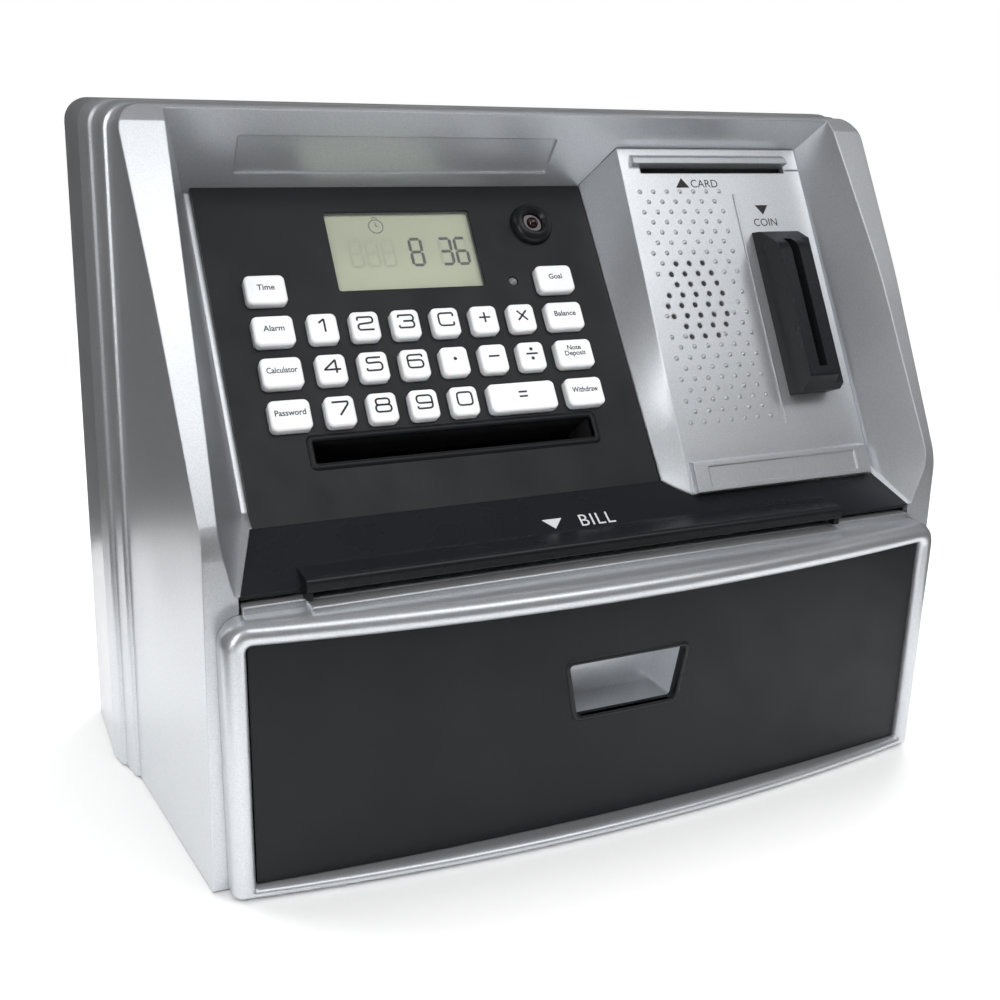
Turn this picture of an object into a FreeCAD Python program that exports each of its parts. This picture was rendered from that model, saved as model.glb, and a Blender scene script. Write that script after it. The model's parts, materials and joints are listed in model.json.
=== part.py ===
"""Toy cash-machine savings bank, millimetres.

+Z is up, the front faces -Y and +X is to the viewer's right. The origin is on
the table, under the middle of the bank. Sloped pieces are drawn flat, in the
frame of the console or of the card and coin panel, and tilted into place.
"""
import FreeCAD, Part
import math
import os

from FreeCAD import Placement, Rotation, Vector

doc = FreeCAD.newDocument("savings_bank")
sheet = doc.addObject("Spreadsheet::Sheet", "dim")

DIMENSIONS = {
    # outer case
    "wall": 2.4, "fit_gap": 0.3, "case_bottom": 0.8, "case_top": 199.3, "brow_top": 198.0,
    "front_face": -52.2, "seam_depth": 58.0, "back_face": 70.0,
    "front_half": 116.5, "flare_half": 124.2, "rib_half": 127.2, "rear_half": 129.6,
    "side_draft": 3.7, "corner_round": 7.0, "opening_half": 106.3,
    # console: the sloped black panel and what sits in it
    "console_tilt": 54.23, "console_depth": -9.7, "console_height": 129.0,
    "console_half": 98.2, "console_right": 24.5, "console_low": -43.2, "console_high": 57.6,
    "panel_thick": 2.0, "block_left": 24.7,
    "key_pitch_x": 12.24, "key_pitch_y": 12.5, "key_first_x": -69.0, "key_first_y": 24.1,
    "key_width": 8.4, "key_height": 8.9, "key_proud": 2.5, "key_travel": 1.2, "key_gap": 0.25,
    "key_flange": 1.0, "key_flange_thick": 1.1, "key_round": 1.7, "key_edge_round": 0.8,
    "left_key_x": -83.0, "left_key_width": 11.5, "right_key_x": 6.5, "right_key_width": 12.0,
    "equals_key_x": -13.84, "equals_key_width": 21.4,
    "window_left": -61.4, "window_right": -15.8, "window_low": 23.8, "window_high": 49.4,
    "window_thick": 1.0, "dome_x": 4.1, "dome_y": 43.8, "dome_radius": 6.8, "dome_proud": 3.0,
    "lens_radius": 3.1, "led_x": -6.5, "led_y": 24.9, "led_radius": 1.5,
    "note_left": -77.9, "note_right": 7.0, "note_low": -27.2, "note_high": -20.5,
    # card and coin panel
    "block_tilt": 60.4, "block_depth": -40.8, "block_height": 90.1, "block_right": 100.4,
    "block_face_left": 32.6, "block_length": 112.3, "block_wall": 2.2,
    "card_left": 39.4, "card_right": 94.4, "card_low": 103.8, "card_high": 106.4,
    "grille_x": 49.8, "grille_y": 61.4, "grille_pitch_x": 4.9, "grille_pitch_y": 3.42,
    "grille_hole_radius": 0.85, "speaker_radius": 14.5,
    "coin_x": 83.2, "coin_low": 28.2, "coin_high": 83.0, "coin_width": 14.6, "coin_proud": 12.0,
    "coin_gap": 3.0,
    # bill ledge
    "ledge_tilt": 32.6, "ledge_depth": -52.3, "ledge_height": 82.75, "ledge_length": 20.8,
    "ledge_thick": 1.8, "hood_left": -90.0, "hood_right": 76.5, "hood_tip": -56.2,
    # lower front: bezel and money drawer
    "bezel_half": 112.4, "bezel_top": 78.2, "bezel_rail": 6.0, "bezel_front": -59.6,
    "bezel_bow": 9.4, "bezel_sill": 3.3, "drawer_half": 106.0, "drawer_top": 72.0,
    "drawer_side_front": -58.1, "drawer_bow": 5.3, "drawer_front_thick": 2.6,
    "tray_half": 97.0, "tray_back": 28.0, "tray_height": 54.0,
    "tray_wall": 2.0, "tray_floor": 7.6, "pull_top": 53.6, "pull_low": 37.6,
    "pull_half_top": 18.8, "pull_half_low": 15.8, "pull_deep": 13.5,
    # inside
    "board_thick": 1.6, "membrane_thick": 1.3, "roller_radius": 5.0, "shaft_radius": 1.5,
    "roller_depth": -26.0, "roller_height": 86.6, "roller_gap": 10.4, "mesh_angle": 40.0,
    "gear_module": 0.8, "gear_teeth": 20.0, "pinion_teeth": 10.0, "gear_width": 4.0, "gear_x": -88.0,
    "foot_radius": 6.5,
    "battery_left": -36.0, "battery_right": 36.0, "battery_low": 14.0, "battery_high": 72.0,
    "battery_deep": 20.0,
}


def fill_sheet():
    for row, (alias, value) in enumerate(DIMENSIONS.items(), start=1):
        sheet.set("A%d" % row, alias)
        sheet.set("B%d" % row, repr(value))
        sheet.setAlias("B%d" % row, alias)
    doc.recompute()


def size(alias):
    """The value of one driving dimension, as the sheet holds it."""
    return float(sheet.get(alias))


fill_sheet()
SLOPE = Placement(Vector(0, size("console_depth"), size("console_height")),
                  Rotation(Vector(1, 0, 0), size("console_tilt")))
FACE = Placement(Vector(0, size("block_depth"), size("block_height")),
                 Rotation(Vector(1, 0, 0), size("block_tilt")))
LEDGE = Placement(Vector(0, size("ledge_depth"), size("ledge_height")),
                  Rotation(Vector(1, 0, 0), size("ledge_tilt")))
NODES = {}


# ---------------------------------------------------------------- drawing helpers
def finish(label, obj, frame=None):
    """Register one sub-part under the name of its file."""
    obj.Label = label
    if frame is not None:
        obj.Placement = frame
    NODES[label] = obj
    return obj


def bind(obj, **expressions):
    for prop, expression in expressions.items():
        obj.setExpression(prop.replace("__", "."), expression)
    return obj


def box(x, y, z, dx, dy, dz):
    """A block whose corner and sides are expressions over the sheet."""
    obj = doc.addObject("Part::Box", "block")
    bind(obj, Length=dx, Width=dy, Height=dz,
         Placement__Base__x=x, Placement__Base__y=y, Placement__Base__z=z)
    return obj


def rod(radius, length, x, y, z, axis="z"):
    """A cylinder from (x, y, z) along a positive axis, sizes as expressions."""
    obj = doc.addObject("Part::Cylinder", "rod")
    turn = {"x": (Vector(0, 1, 0), 90), "y": (Vector(1, 0, 0), -90), "z": (Vector(0, 0, 1), 0)}
    obj.Placement = Placement(Vector(), Rotation(*turn[axis]))
    bind(obj, Radius=radius, Height=length,
         Placement__Base__x=x, Placement__Base__y=y, Placement__Base__z=z)
    return obj


def fuse(*pieces):
    obj = doc.addObject("Part::MultiFuse", "joined")
    obj.Shapes = list(pieces)
    return obj


def cut(base, *tools):
    obj = doc.addObject("Part::Cut", "cut")
    obj.Base = base
    obj.Tool = tools[0] if len(tools) == 1 else fuse(*tools)
    return obj


def common(first, second):
    obj = doc.addObject("Part::Common", "overlap")
    obj.Base = first
    obj.Tool = second
    return obj


def outline(points, rounds=None):
    """Closed outline in the XY plane; rounds gives a corner radius for each point."""
    count = len(points)
    rounds = rounds or [0.0] * count
    corners = []
    for index, radius in enumerate(rounds):
        here = Vector(*points[index], 0)
        before = (Vector(*points[index - 1], 0) - here).normalize()
        after = (Vector(*points[(index + 1) % count], 0) - here).normalize()
        if radius <= 0:
            corners.append((here, here, None))
            continue
        half = before.getAngle(after) / 2
        reach = radius / math.tan(half)
        centre = here + (before + after).normalize() * (radius / math.sin(half))
        middle = centre + (here - centre).normalize() * radius
        corners.append((here + before * reach, here + after * reach, middle))
    edges = []
    for index, (start, end, middle) in enumerate(corners):
        if middle is not None:
            edges.append(Part.Arc(start, middle, end))
        following = corners[(index + 1) % count][0]
        if end.distanceToPoint(following) > 1e-6:
            edges.append(Part.LineSegment(end, following))
    return edges


def sketch(body, plane, edges, offset="0"):
    """A sketch on one of the body's own planes, offset along the plane's normal."""
    obj = body.newObject("Sketcher::SketchObject", "outline")
    base = [item for item in body.Origin.OriginFeatures if item.Role == plane][0]
    obj.AttachmentSupport = [(base, "")]
    obj.MapMode = "FlatFace"
    obj.setExpression("AttachmentOffset.Base.z", offset)
    for edge in edges:
        if isinstance(edge, Part.Arc):
            edge = as_sketch_arc(edge)
        obj.addGeometry(edge, False)
    return obj


def as_sketch_arc(arc):
    """A three-point arc as a circle arc, which is what a sketch stores."""
    curve = arc.toShape().Curve
    first, last = arc.toShape().ParameterRange
    circle = Part.Circle(curve.Center, Vector(0, 0, 1), curve.Radius)
    if curve.Axis.z < 0:
        first_point = arc.toShape().valueAt(last)
        last_point = arc.toShape().valueAt(first)
    else:
        first_point = arc.toShape().valueAt(first)
        last_point = arc.toShape().valueAt(last)
    start = math.atan2(first_point.y - curve.Center.y, first_point.x - curve.Center.x)
    end = math.atan2(last_point.y - curve.Center.y, last_point.x - curve.Center.x)
    if end <= start:
        end += 2 * math.pi
    return Part.ArcOfCircle(circle, start, end)


def new_body(name="body"):
    return doc.addObject("PartDesign::Body", name)


def pad(body, profile, length):
    obj = body.newObject("PartDesign::Pad", "pad")
    obj.Profile = profile
    obj.setExpression("Length", length)
    return obj


def slab(points, base, thick, rounds=None, plane="XY_Plane"):
    """A flat plate: an outline raised by thick, starting at base along the normal."""
    body = new_body()
    profile = sketch(body, plane, outline(points, rounds), base)
    pad(body, profile, thick)
    return body


def rectangle(x0, x1, y0, y1):
    return [(x0, y0), (x1, y0), (x1, y1), (x0, y1)]


def rounded(x0, x1, y0, y1, base, thick, radius):
    return slab(rectangle(x0, x1, y0, y1), base, thick, [radius] * 4)


def side_prism(points, x0, x1, rounds=None):
    """A side view, given as (y, z) points, carried from x0 to x1."""
    body = new_body()
    profile = sketch(body, "YZ_Plane", outline(points, rounds), "%f" % x0)
    pad(body, profile, "%f" % (x1 - x0))
    return body


# ---------------------------------------------------------------- outer case
def case_section(body, depth, half, top, inset, base):
    """Cross-section of the case at one depth, with drafted sides and round top corners."""
    drafted = half - size("side_draft")
    points = [(-half + inset, base), (half - inset, base),
              (drafted - inset, top - inset), (-drafted + inset, top - inset)]
    round_top = size("corner_round") - inset
    edges = outline(points, [0, 0, round_top, round_top])
    return sketch(body, "XZ_Plane", edges, "%f" % -depth)


def case_form(stations, inset, base):
    """Solid form of the case through its cross-sections, front to back."""
    body = new_body("form")
    sections = [case_section(body, depth, half, top, inset, base)
                for depth, half, top in stations]
    loft = body.newObject("PartDesign::AdditiveLoft", "form_loft")
    loft.Profile = sections[0]
    loft.Sections = sections[1:]
    loft.Ruled = True
    loft.Closed = False
    return body


def case_stations():
    """Depth, half-width at the base and top height; two ribs step out near the back."""
    brow, top = size("brow_top"), size("case_top")
    flare, rib, rear = size("flare_half"), size("rib_half"), size("rear_half")
    front_slope = (flare - size("front_half")) / (15.0 - size("front_face"))
    start = -60.0
    return [(start, flare + front_slope * (start - 15.0), brow), (15.0, flare, brow),
            (15.5, flare + 0.9, brow + 0.25), (16.6, flare + 1.4, brow + 0.45),
            (23.6, rib - 0.3, brow + 0.7), (24.2, rib + 0.6, brow + 0.95),
            (25.4, rib + 1.1, top - 0.1), (31.0, rear, top),
            (size("seam_depth"), rear, top)]


FRONT_PROFILE_KNEE = (size("front_face"), 97.3)
FRONT_PROFILE_MIDDLE = (-22.2, 151.2)
FRONT_PROFILE_BROW = (4.9, 194.0)


def front_profile(inset=0.0):
    """Side view of the case front: upright, bent back at the knee, then a gentle slope."""
    knee = Vector(FRONT_PROFILE_KNEE[0] + inset, FRONT_PROFILE_KNEE[1] - inset * 0.55, 0)
    middle = Vector(FRONT_PROFILE_MIDDLE[0] + inset * 0.86,
                    FRONT_PROFILE_MIDDLE[1] - inset * 0.5, 0)
    brow = Vector(FRONT_PROFILE_BROW[0] + inset * 0.8, FRONT_PROFILE_BROW[1] - inset * 0.6, 0)
    crown = Vector(brow.x + 4.2, brow.y + 4.4, 0)
    behind, over, under = 90.0, 215.0, -5.0
    points = [(knee.x, under), (knee.x, knee.y), (middle.x, middle.y), (brow.x, brow.y),
              (crown.x, crown.y), (crown.x, over), (behind, over), (behind, under)]
    return outline(points, [0, 17.0, 260.0, 0.8, 0.3, 0, 0, 0])


def case_side_cutter(inset=0.0):
    body = new_body("side_view")
    profile = sketch(body, "YZ_Plane", front_profile(inset), "-140")
    pad(body, profile, "280")
    return body


def outward(solid):
    """The same solid with its faces looking out."""
    return solid.reversed() if solid.Volume < 0 else solid


def recess_points(grow, reach):
    """Back and front outlines of the hollow between the cheeks.

    The hollow opens from the console plane towards the viewer; its floor is the bill
    ledge and its ceiling is the brow's soffit. Its right wall leans out from the edge
    of the card and coin panel, so the back outline is narrower there.
    """
    low_back, low_front = Vector(0, -34.9, 93.9), Vector(0, -52.6, 82.6)
    high_back, high_front = Vector(0, 24.1, 175.8), Vector(0, 8.3, 196.5)
    left_back, right_low, right_high = 99.2, 97.8, 90.1
    front = size("opening_half")
    rows = []
    for low_share, share in ((-0.27, -0.085), (reach, reach)):
        low = low_back + (low_front - low_back) * low_share + Vector(0, 0.54, -0.84) * grow
        high = high_back + (high_front - high_back) * share + Vector(0, 0.8, 0.6) * grow
        sides = [-left_back, right_low, right_high, -left_back]
        spans = [(front - abs(side)) * math.copysign(share, side) for side in sides]
        widths = [side + span + math.copysign(grow, side) for side, span in zip(sides, spans)]
        rows.append([Vector(widths[0], low.y, low.z), Vector(widths[1], low.y, low.z),
                     Vector(widths[2], high.y, high.z), Vector(widths[3], high.y, high.z)])
    return rows


def recess_form(name, grow, reach=1.9):
    """The hollow between the cheeks as a closed ruled solid."""
    obj = doc.addObject("Part::Feature", name)
    wires = [Part.makePolygon(row + [row[0]]) for row in recess_points(grow, reach)]
    obj.Shape = outward(Part.makeLoft(wires, True, True))
    return obj


def front_shell():
    """Silver shell: cheeks, ribbed sides, top and the brow over the console."""
    stations = case_stations()
    outer = common(case_form(stations, 0.0, size("case_bottom")), case_side_cutter())
    wall = size("wall")
    inner_stations = [(depth + (0.1 if depth > 50 else 0), half, top)
                      for depth, half, top in stations]
    inner = common(case_form(inner_stations, wall, -2.0), case_side_cutter(wall))
    hollow = cut(inner, recess_form("recess_wall", wall))
    shell = cut(outer, hollow, recess_form("recess", 0.0))
    opening = rounded(-96.5, 88.0, -40.5, 55.5, "-9", "9", 1.0)
    opening.Placement = SLOPE
    doorway = box("-dim.opening_half", "-60", "-2", "2 * dim.opening_half", "20", "84.8")
    label = slab([(-86.5, -10.6), (11.0, -10.6), (11.0, 2.4), (-86.5, 2.4)], "-0.7", "3",
                 [0.6] * 4)
    label.Placement = brow_frame()
    seat = ledge_plate(0.1, "-dim.ledge_thick - 0.02", "8")
    seat.Placement = LEDGE
    panel_seat = wedge(-0.1, size("block_left") - 0.1, size("block_right") + 0.1)
    panel_seat.Placement = FACE
    return finish("front_shell", cut(shell, opening, doorway, label, seat, panel_seat,
                                     ledge_passage()))


def brow_frame():
    """Frame on the middle of the soffit: x to the right, y up the soffit, z out of it."""
    low, high = Vector(0, 24.1, 175.8), Vector(0, 8.3, 196.5)
    up = (high - low).normalize()
    out = Vector(1, 0, 0).cross(up)
    return Placement(low + up * 15.7, Rotation(Vector(1, 0, 0), up, out, "XYZ"))


def ledge_passage():
    """Room behind the lower bill slot for the note and its feed rollers."""
    front = box("-97", "-53.5", "60", "194", "24", "26")
    rear = box("-95", "-40", "60", "190", "26", "35")
    return fuse(front, rear, note_passage())


def note_passage():
    """Slit of the lower bill slot, above the bezel and under the hood."""
    return box("dim.hood_left + 3.5", "-70", "80.4", "dim.hood_right - dim.hood_left - 7", "42",
               "2.2")


def back_cover():
    """Rear cover with rounded edges, closing the case behind the seam."""
    rear, top = size("rear_half"), size("case_top")
    seam, back = size("seam_depth"), size("back_face")
    depths = (seam + 0.3, back - 7.0, back - 3.2, back - 1.0, back)
    insets = (0.0, 0.0, 1.1, 3.2, 6.0)
    outer = case_form([(d, rear - i, top - i) for d, i in zip(depths, insets)], 0.0,
                      size("case_bottom"))
    hollow = case_form([(d - 2.4, rear - i, top - i) for d, i in zip(depths, insets)],
                       size("wall"), size("case_bottom") + size("wall"))
    bay = box("dim.battery_left - 0.4", "dim.seam_depth", "dim.battery_low - 0.4",
              "dim.battery_right - dim.battery_left + 0.8", "20",
              "dim.battery_high - dim.battery_low + 0.8")
    screws = [rod("1.7", "20", "%f" % x, "dim.seam_depth", "%f" % z, "y")
              for x, z in SCREW_PLACES]
    sinks = [rod("3.6", "3", "%f" % x, "dim.back_face - 1.45", "%f" % z, "y")
             for x, z in SCREW_PLACES]
    return finish("back_cover", cut(cut(outer, hollow), bay, *screws, *sinks))


SCREW_PLACES = [(-112.0, 18.0), (112.0, 18.0), (-112.0, 178.0), (112.0, 178.0),
                (-60.0, 18.0), (60.0, 18.0)]


def case_screws():
    """Six pan-head screws through the rear cover."""
    screws = []
    for x, z in SCREW_PLACES:
        shank = rod("1.4", "14", "%f" % x, "dim.back_face - 13.9", "%f" % z, "y")
        head = rod("3.0", "1.4", "%f" % x, "dim.back_face - 1.4", "%f" % z, "y")
        driver = box("%f" % (x - 1.8), "dim.back_face - 0.7", "%f" % (z - 0.35),
                     "3.6", "2", "0.7")
        driver_two = box("%f" % (x - 0.35), "dim.back_face - 0.7", "%f" % (z - 1.8),
                         "0.7", "2", "3.6")
        screws.append(cut(fuse(shank, head), driver, driver_two))
    group = doc.addObject("Part::Compound", "screw_group")
    group.Links = screws
    return finish("case_screws", group)


def base_plate():
    """Floor of the bank inside the shell, with two runners for the drawer."""
    inset = size("wall") + size("fit_gap")
    half_views = [(size("front_half") - inset, size("front_face") + 6.3),
                  (size("flare_half") - inset, 15.0), (size("rear_half") - inset, 31.5),
                  (size("rear_half") - inset, size("seam_depth"))]
    plate = slab([(x, y) for x, y in half_views] + [(-x, y) for x, y in reversed(half_views)],
                 "dim.case_bottom", "dim.wall")
    runners = [box("%f" % x, "-45", "dim.case_bottom + dim.wall", "4", "88", "2.4")
               for x in (-90.0, 86.0)]
    stop = box("-95", "34", "dim.case_bottom + dim.wall", "190", "2.4", "9")
    return finish("base_plate", fuse(plate, stop, *runners))


def rubber_feet():
    feet = [rod("dim.foot_radius", "dim.case_bottom", "%f" % x, "%f" % y, "0")
            for x in (-98.0, 98.0) for y in (-36.0, 48.0)]
    group = doc.addObject("Part::Compound", "foot_group")
    group.Links = feet
    return finish("rubber_feet", group)


# ---------------------------------------------------------------- bowed lower front
def bow_points(half, front, bow):
    """Start, middle and end of a line that bows towards the viewer."""
    return Vector(-half, front, 0), Vector(0, front - bow, 0), Vector(half, front, 0)


def bowed_plate(half, front, bow, back, base, tall):
    """Upright plate whose front is an arc in plan and whose back follows straight."""
    body = new_body()
    left, middle, right = bow_points(half, front, bow)
    edges = [Part.Arc(left, middle, right),
             Part.LineSegment(right, Vector(half, back, 0)),
             Part.LineSegment(Vector(half, back, 0), Vector(-half, back, 0)),
             Part.LineSegment(Vector(-half, back, 0), left)]
    pad(body, sketch(body, "XY_Plane", edges, base), tall)
    return body


def front_view_prism(points, rounds, y0, y1):
    """A front view, given as (x, z) points, carried from y0 back to y1."""
    body = new_body()
    profile = sketch(body, "XZ_Plane", outline(points, rounds), "%f" % -y1)
    pad(body, profile, "%f" % (y1 - y0))
    return body


def door_frame():
    """Silver bezel round the drawer, half-round rails bowed towards the viewer."""
    half, top, rail = size("bezel_half"), size("bezel_top"), size("bezel_rail")
    sill, low = size("bezel_sill"), size("case_bottom")
    front, bow = size("bezel_front"), size("bezel_bow")
    whole = bowed_plate(half, front, bow, size("front_face") - 0.05, "dim.case_bottom",
                        "dim.bezel_top - dim.case_bottom")
    silhouette = front_view_prism(
        [(-half, low), (half, low), (half, top), (-half, top)], [1.0, 1.0, 6.5, 6.5], -90, -40)
    doorway = front_view_prism(
        [(-half + rail, low + sill), (half - rail, low + sill),
         (half - rail, top - rail), (-half + rail, top - rail)], [0.8] * 4, -90, -40)
    collar = cut(front_view_prism(rectangle(-105.6, 105.6, low, 80.2), [0.5] * 4, -53.0, -46.0),
                 front_view_prism(rectangle(-103.0, 103.0, low + sill, 76.0), [0.5] * 4, -55, -45))
    ring = cut(common(whole, silhouette), doorway)
    rounded_ring = round_front(ring, 2.2)
    lip = box("dim.hood_left + 0.6", "-58.4", "dim.bezel_top - 0.6",
              "dim.hood_right - dim.hood_left - 1.2", "8", "2.2")
    return finish("door_frame", fuse(rounded_ring, collar, lip))


def round_front(base, radius):
    """Rounds the edges of the bezel that face the viewer."""
    doc.recompute()
    obj = doc.addObject("Part::Fillet", "rounded")
    obj.Base = base
    chosen = []
    for index, edge in enumerate(base.Shape.Edges, start=1):
        reach = edge.BoundBox
        if reach.YMax < size("bezel_front") + 0.2 and edge.Length > 5:
            chosen.append((index, radius, radius))
    obj.Edges = chosen
    doc.recompute()
    if obj.Shape.isNull() or not obj.isValid():
        doc.removeObject(obj.Name)
        return base
    return obj


def drawer_front():
    """Black bowed front of the money drawer, pierced for the finger pull."""
    half, low = size("drawer_half"), size("case_bottom") + size("bezel_sill") + 0.3
    front, thick = size("drawer_side_front"), size("drawer_front_thick")
    outer = bowed_plate(half, front, size("drawer_bow"), front + thick + 1.4, "%f" % low,
                        "dim.drawer_top - %f" % low)
    body = new_body()
    left, middle, right = bow_points(half - thick, front + thick, size("drawer_bow"))
    left_back, right_back = Vector(left.x, -40, 0), Vector(right.x, -40, 0)
    edges = [Part.Arc(left, middle, right), Part.LineSegment(right, right_back),
             Part.LineSegment(right_back, left_back), Part.LineSegment(left_back, left)]
    pad(body, sketch(body, "XY_Plane", edges, "%f" % (low + thick)),
        "dim.drawer_top - %f" % (low + 2 * thick))
    skin = cut(outer, body)
    pull = front_view_prism(pull_points(0.0), [1.2] * 4, -75, -40)
    return finish("drawer_front", cut(skin, pull))


def pull_points(inset):
    """Finger opening, wider at the top, as a front view."""
    top, low = size("pull_top") - inset, size("pull_low") + inset
    wide, narrow = size("pull_half_top") - inset, size("pull_half_low") - inset
    return [(-narrow, low), (narrow, low), (wide, top), (-wide, top)]


def handle_cup():
    """Silver cup behind the finger opening."""
    front = size("drawer_side_front") - size("drawer_bow") + size("drawer_front_thick")
    back = front + size("pull_deep")
    outer = front_view_prism(pull_points(-2.2), [1.0] * 4, front + 0.3, back)
    inner = front_view_prism(pull_points(-0.4), [1.0] * 4, front - 2, back - 1.6)
    flange = cut(front_view_prism(pull_points(-3.6), [1.5] * 4, front + 0.3, front + 1.4),
                 front_view_prism(pull_points(-0.4), [1.0] * 4, front - 2, front + 4))
    return finish("drawer_handle_cup", fuse(cut(outer, inner), flange))


def drawer_tray():
    """Open money box behind the drawer front, split by a wall for coins and notes."""
    front = size("drawer_side_front") + size("drawer_front_thick") + 1.5
    half, back = size("tray_half"), size("tray_back")
    floor, wall = size("tray_floor"), size("tray_wall")
    tall = size("tray_height")
    outer = box("-dim.tray_half", "%f" % front, "dim.tray_floor",
                "2 * dim.tray_half", "dim.tray_back - %f" % front, "dim.tray_height")
    notes = box("%f" % (-half + wall), "%f" % (front + wall), "%f" % (floor + wall),
                "%f" % (62.0 + half - wall), "%f" % (back - front - 2 * wall), "%f" % tall)
    coins = box("%f" % (62.0 + wall), "%f" % (front + wall), "%f" % (floor + wall),
                "%f" % (half - 62.0 - 2 * wall), "%f" % (back - front - 2 * wall),
                "%f" % tall)
    cup_room = front_view_prism(pull_points(-3.9), [1.0] * 4, front - 2, front + 14)
    catch = cut(box("-8", "%f" % (back - 0.01), "%f" % (floor + 30), "16", "7",
                    "10"),
                box("-4", "%f" % (back + 1.6), "%f" % (floor + 25), "8", "3.4",
                    "20"))
    pocket = box("-24", "%f" % (front + 0.01), "%f" % (floor + 22), "48", "13.6",
                 "%f" % (tall - 22))
    shield = cut(pocket, cup_room)
    return finish("drawer_tray", fuse(cut(cut(outer, notes, coins), cup_room), catch, shield))


def drawer_latch():
    """Bolt that a coil drives down into the drawer's catch."""
    back = size("tray_back")
    bolt = box("-3.5", "%f" % (back + 1.9), "dim.tray_floor + 40.6", "7", "2.8", "13")
    stem = rod("2.4", "12", "0", "%f" % (back + 3.3), "dim.tray_floor + 52")
    return finish("drawer_latch", fuse(bolt, stem))


def latch_solenoid():
    """Coil that drives the bolt, above and behind the drawer."""
    back = size("tray_back")
    coil = box("-11", "%f" % (back - 4.0), "dim.tray_floor + 56", "22", "16", "22")
    bore = rod("2.45", "30", "0", "%f" % (back + 3.3), "dim.tray_floor + 50")
    return finish("latch_solenoid", cut(coil, bore))


# ---------------------------------------------------------------- console pieces
def console_panel():
    """Black sloped panel with openings for the keys, window, camera, lamp and note slot."""
    half, right = size("console_half"), size("console_right")
    low, high = size("console_low"), size("console_high")
    panel = slab(rectangle(-half, right, low, high), "-dim.panel_thick", "dim.panel_thick")
    gap = size("key_gap")
    holes = [rounded(x - w / 2 - gap, x + w / 2 + gap, y - tall / 2 - gap, y + tall / 2 + gap,
                     "-5", "10", size("key_round") + gap)
             for _, x, y, w, tall in key_table()]
    window = rounded(size("window_left"), size("window_right"), size("window_low"),
                     size("window_high"), "-5", "10", 0.8)
    note = rounded(size("note_left"), size("note_right"), size("note_low"), size("note_high"),
                   "-5", "10", 0.6)
    dome = rod("dim.dome_radius - 1.2", "10", "dim.dome_x", "dim.dome_y", "-5")
    lamp = rod("dim.led_radius + 0.05", "10", "dim.led_x", "dim.led_y", "-5")
    pierced = cut(panel, window, note, dome, lamp, *holes)
    pierced.Placement = SLOPE
    return finish("console_panel", common(pierced, recess_form("console_room", -0.08)))


def key_table():
    """Name, centre and size of every key, row by row from the top."""
    tall, wide = size("key_height"), size("key_width")
    rows = [size("key_first_y") - size("key_pitch_y") * row for row in range(4)]
    columns = [size("key_first_x") + size("key_pitch_x") * column for column in range(6)]
    keys = []
    for name, row in zip(("time", "alarm", "calculator", "password"), rows):
        keys.append((name, size("left_key_x"), row, size("left_key_width"), tall))
    for name, row in zip(("goal", "balance", "note_deposit", "withdraw"), rows):
        keys.append((name, size("right_key_x"), row, size("right_key_width"), tall))
    numbers = [("1", "2", "3", "clear", "plus", "times"),
               ("4", "5", "6", "point", "minus", "divide"), ("7", "8", "9", "0")]
    for names, row in zip(numbers, rows[1:]):
        for name, column in zip(names, columns):
            keys.append((name, column, row, wide, tall))
    keys.append(("equals", size("equals_key_x"), rows[3], size("equals_key_width"), tall))
    return keys


def key(name, x, y, wide, tall):
    """Push key with a retaining flange behind the panel and a stem to the membrane."""
    body = new_body()
    cap = sketch(body, "XY_Plane",
                 outline(rectangle(x - wide / 2, x + wide / 2, y - tall / 2, y + tall / 2),
                         [size("key_round")] * 4), "-2.6")
    raised = pad(body, cap, "2.6 + dim.key_proud")
    doc.recompute()
    edges = ["Edge%d" % index for index, edge in enumerate(raised.Shape.Edges, start=1)
             if edge.BoundBox.ZMin > size("key_proud") - 0.01]
    soft = body.newObject("PartDesign::Fillet", "soft_edge")
    soft.Base = (raised, edges)
    soft.setExpression("Radius", "dim.key_edge_round")
    edge = size("key_flange")
    flange = sketch(body, "XY_Plane",
                    outline(rectangle(x - wide / 2 - edge, x + wide / 2 + edge,
                                      y - tall / 2 - edge, y + tall / 2 + edge), [1.5] * 4),
                    "-2.3 - dim.key_flange_thick")
    pad(body, flange, "dim.key_flange_thick")
    return finish("key_" + name, body, SLOPE)


def lcd_window():
    """Clear window set just below the panel's face."""
    body = rounded(size("window_left") + 0.15, size("window_right") - 0.15,
                   size("window_low") + 0.15, size("window_high") - 0.15,
                   "-dim.window_thick - 0.6", "dim.window_thick", 0.6)
    return finish("lcd_window", body, SLOPE)


def lcd_module():
    """Liquid-crystal cell in its frame, behind the window."""
    cell = rounded(size("window_left") - 3, size("window_right") + 2.4,
                   size("window_low") - 2.6, size("window_high") + 4, "-7", "4.8", 0.5)
    face = rounded(size("window_left") + 0.6, size("window_right") - 0.6,
                   size("window_low") + 0.6, size("window_high") - 0.6, "-2.25", "0.6", 0.3)
    return finish("lcd_module", fuse(cell, face), SLOPE)


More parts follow.
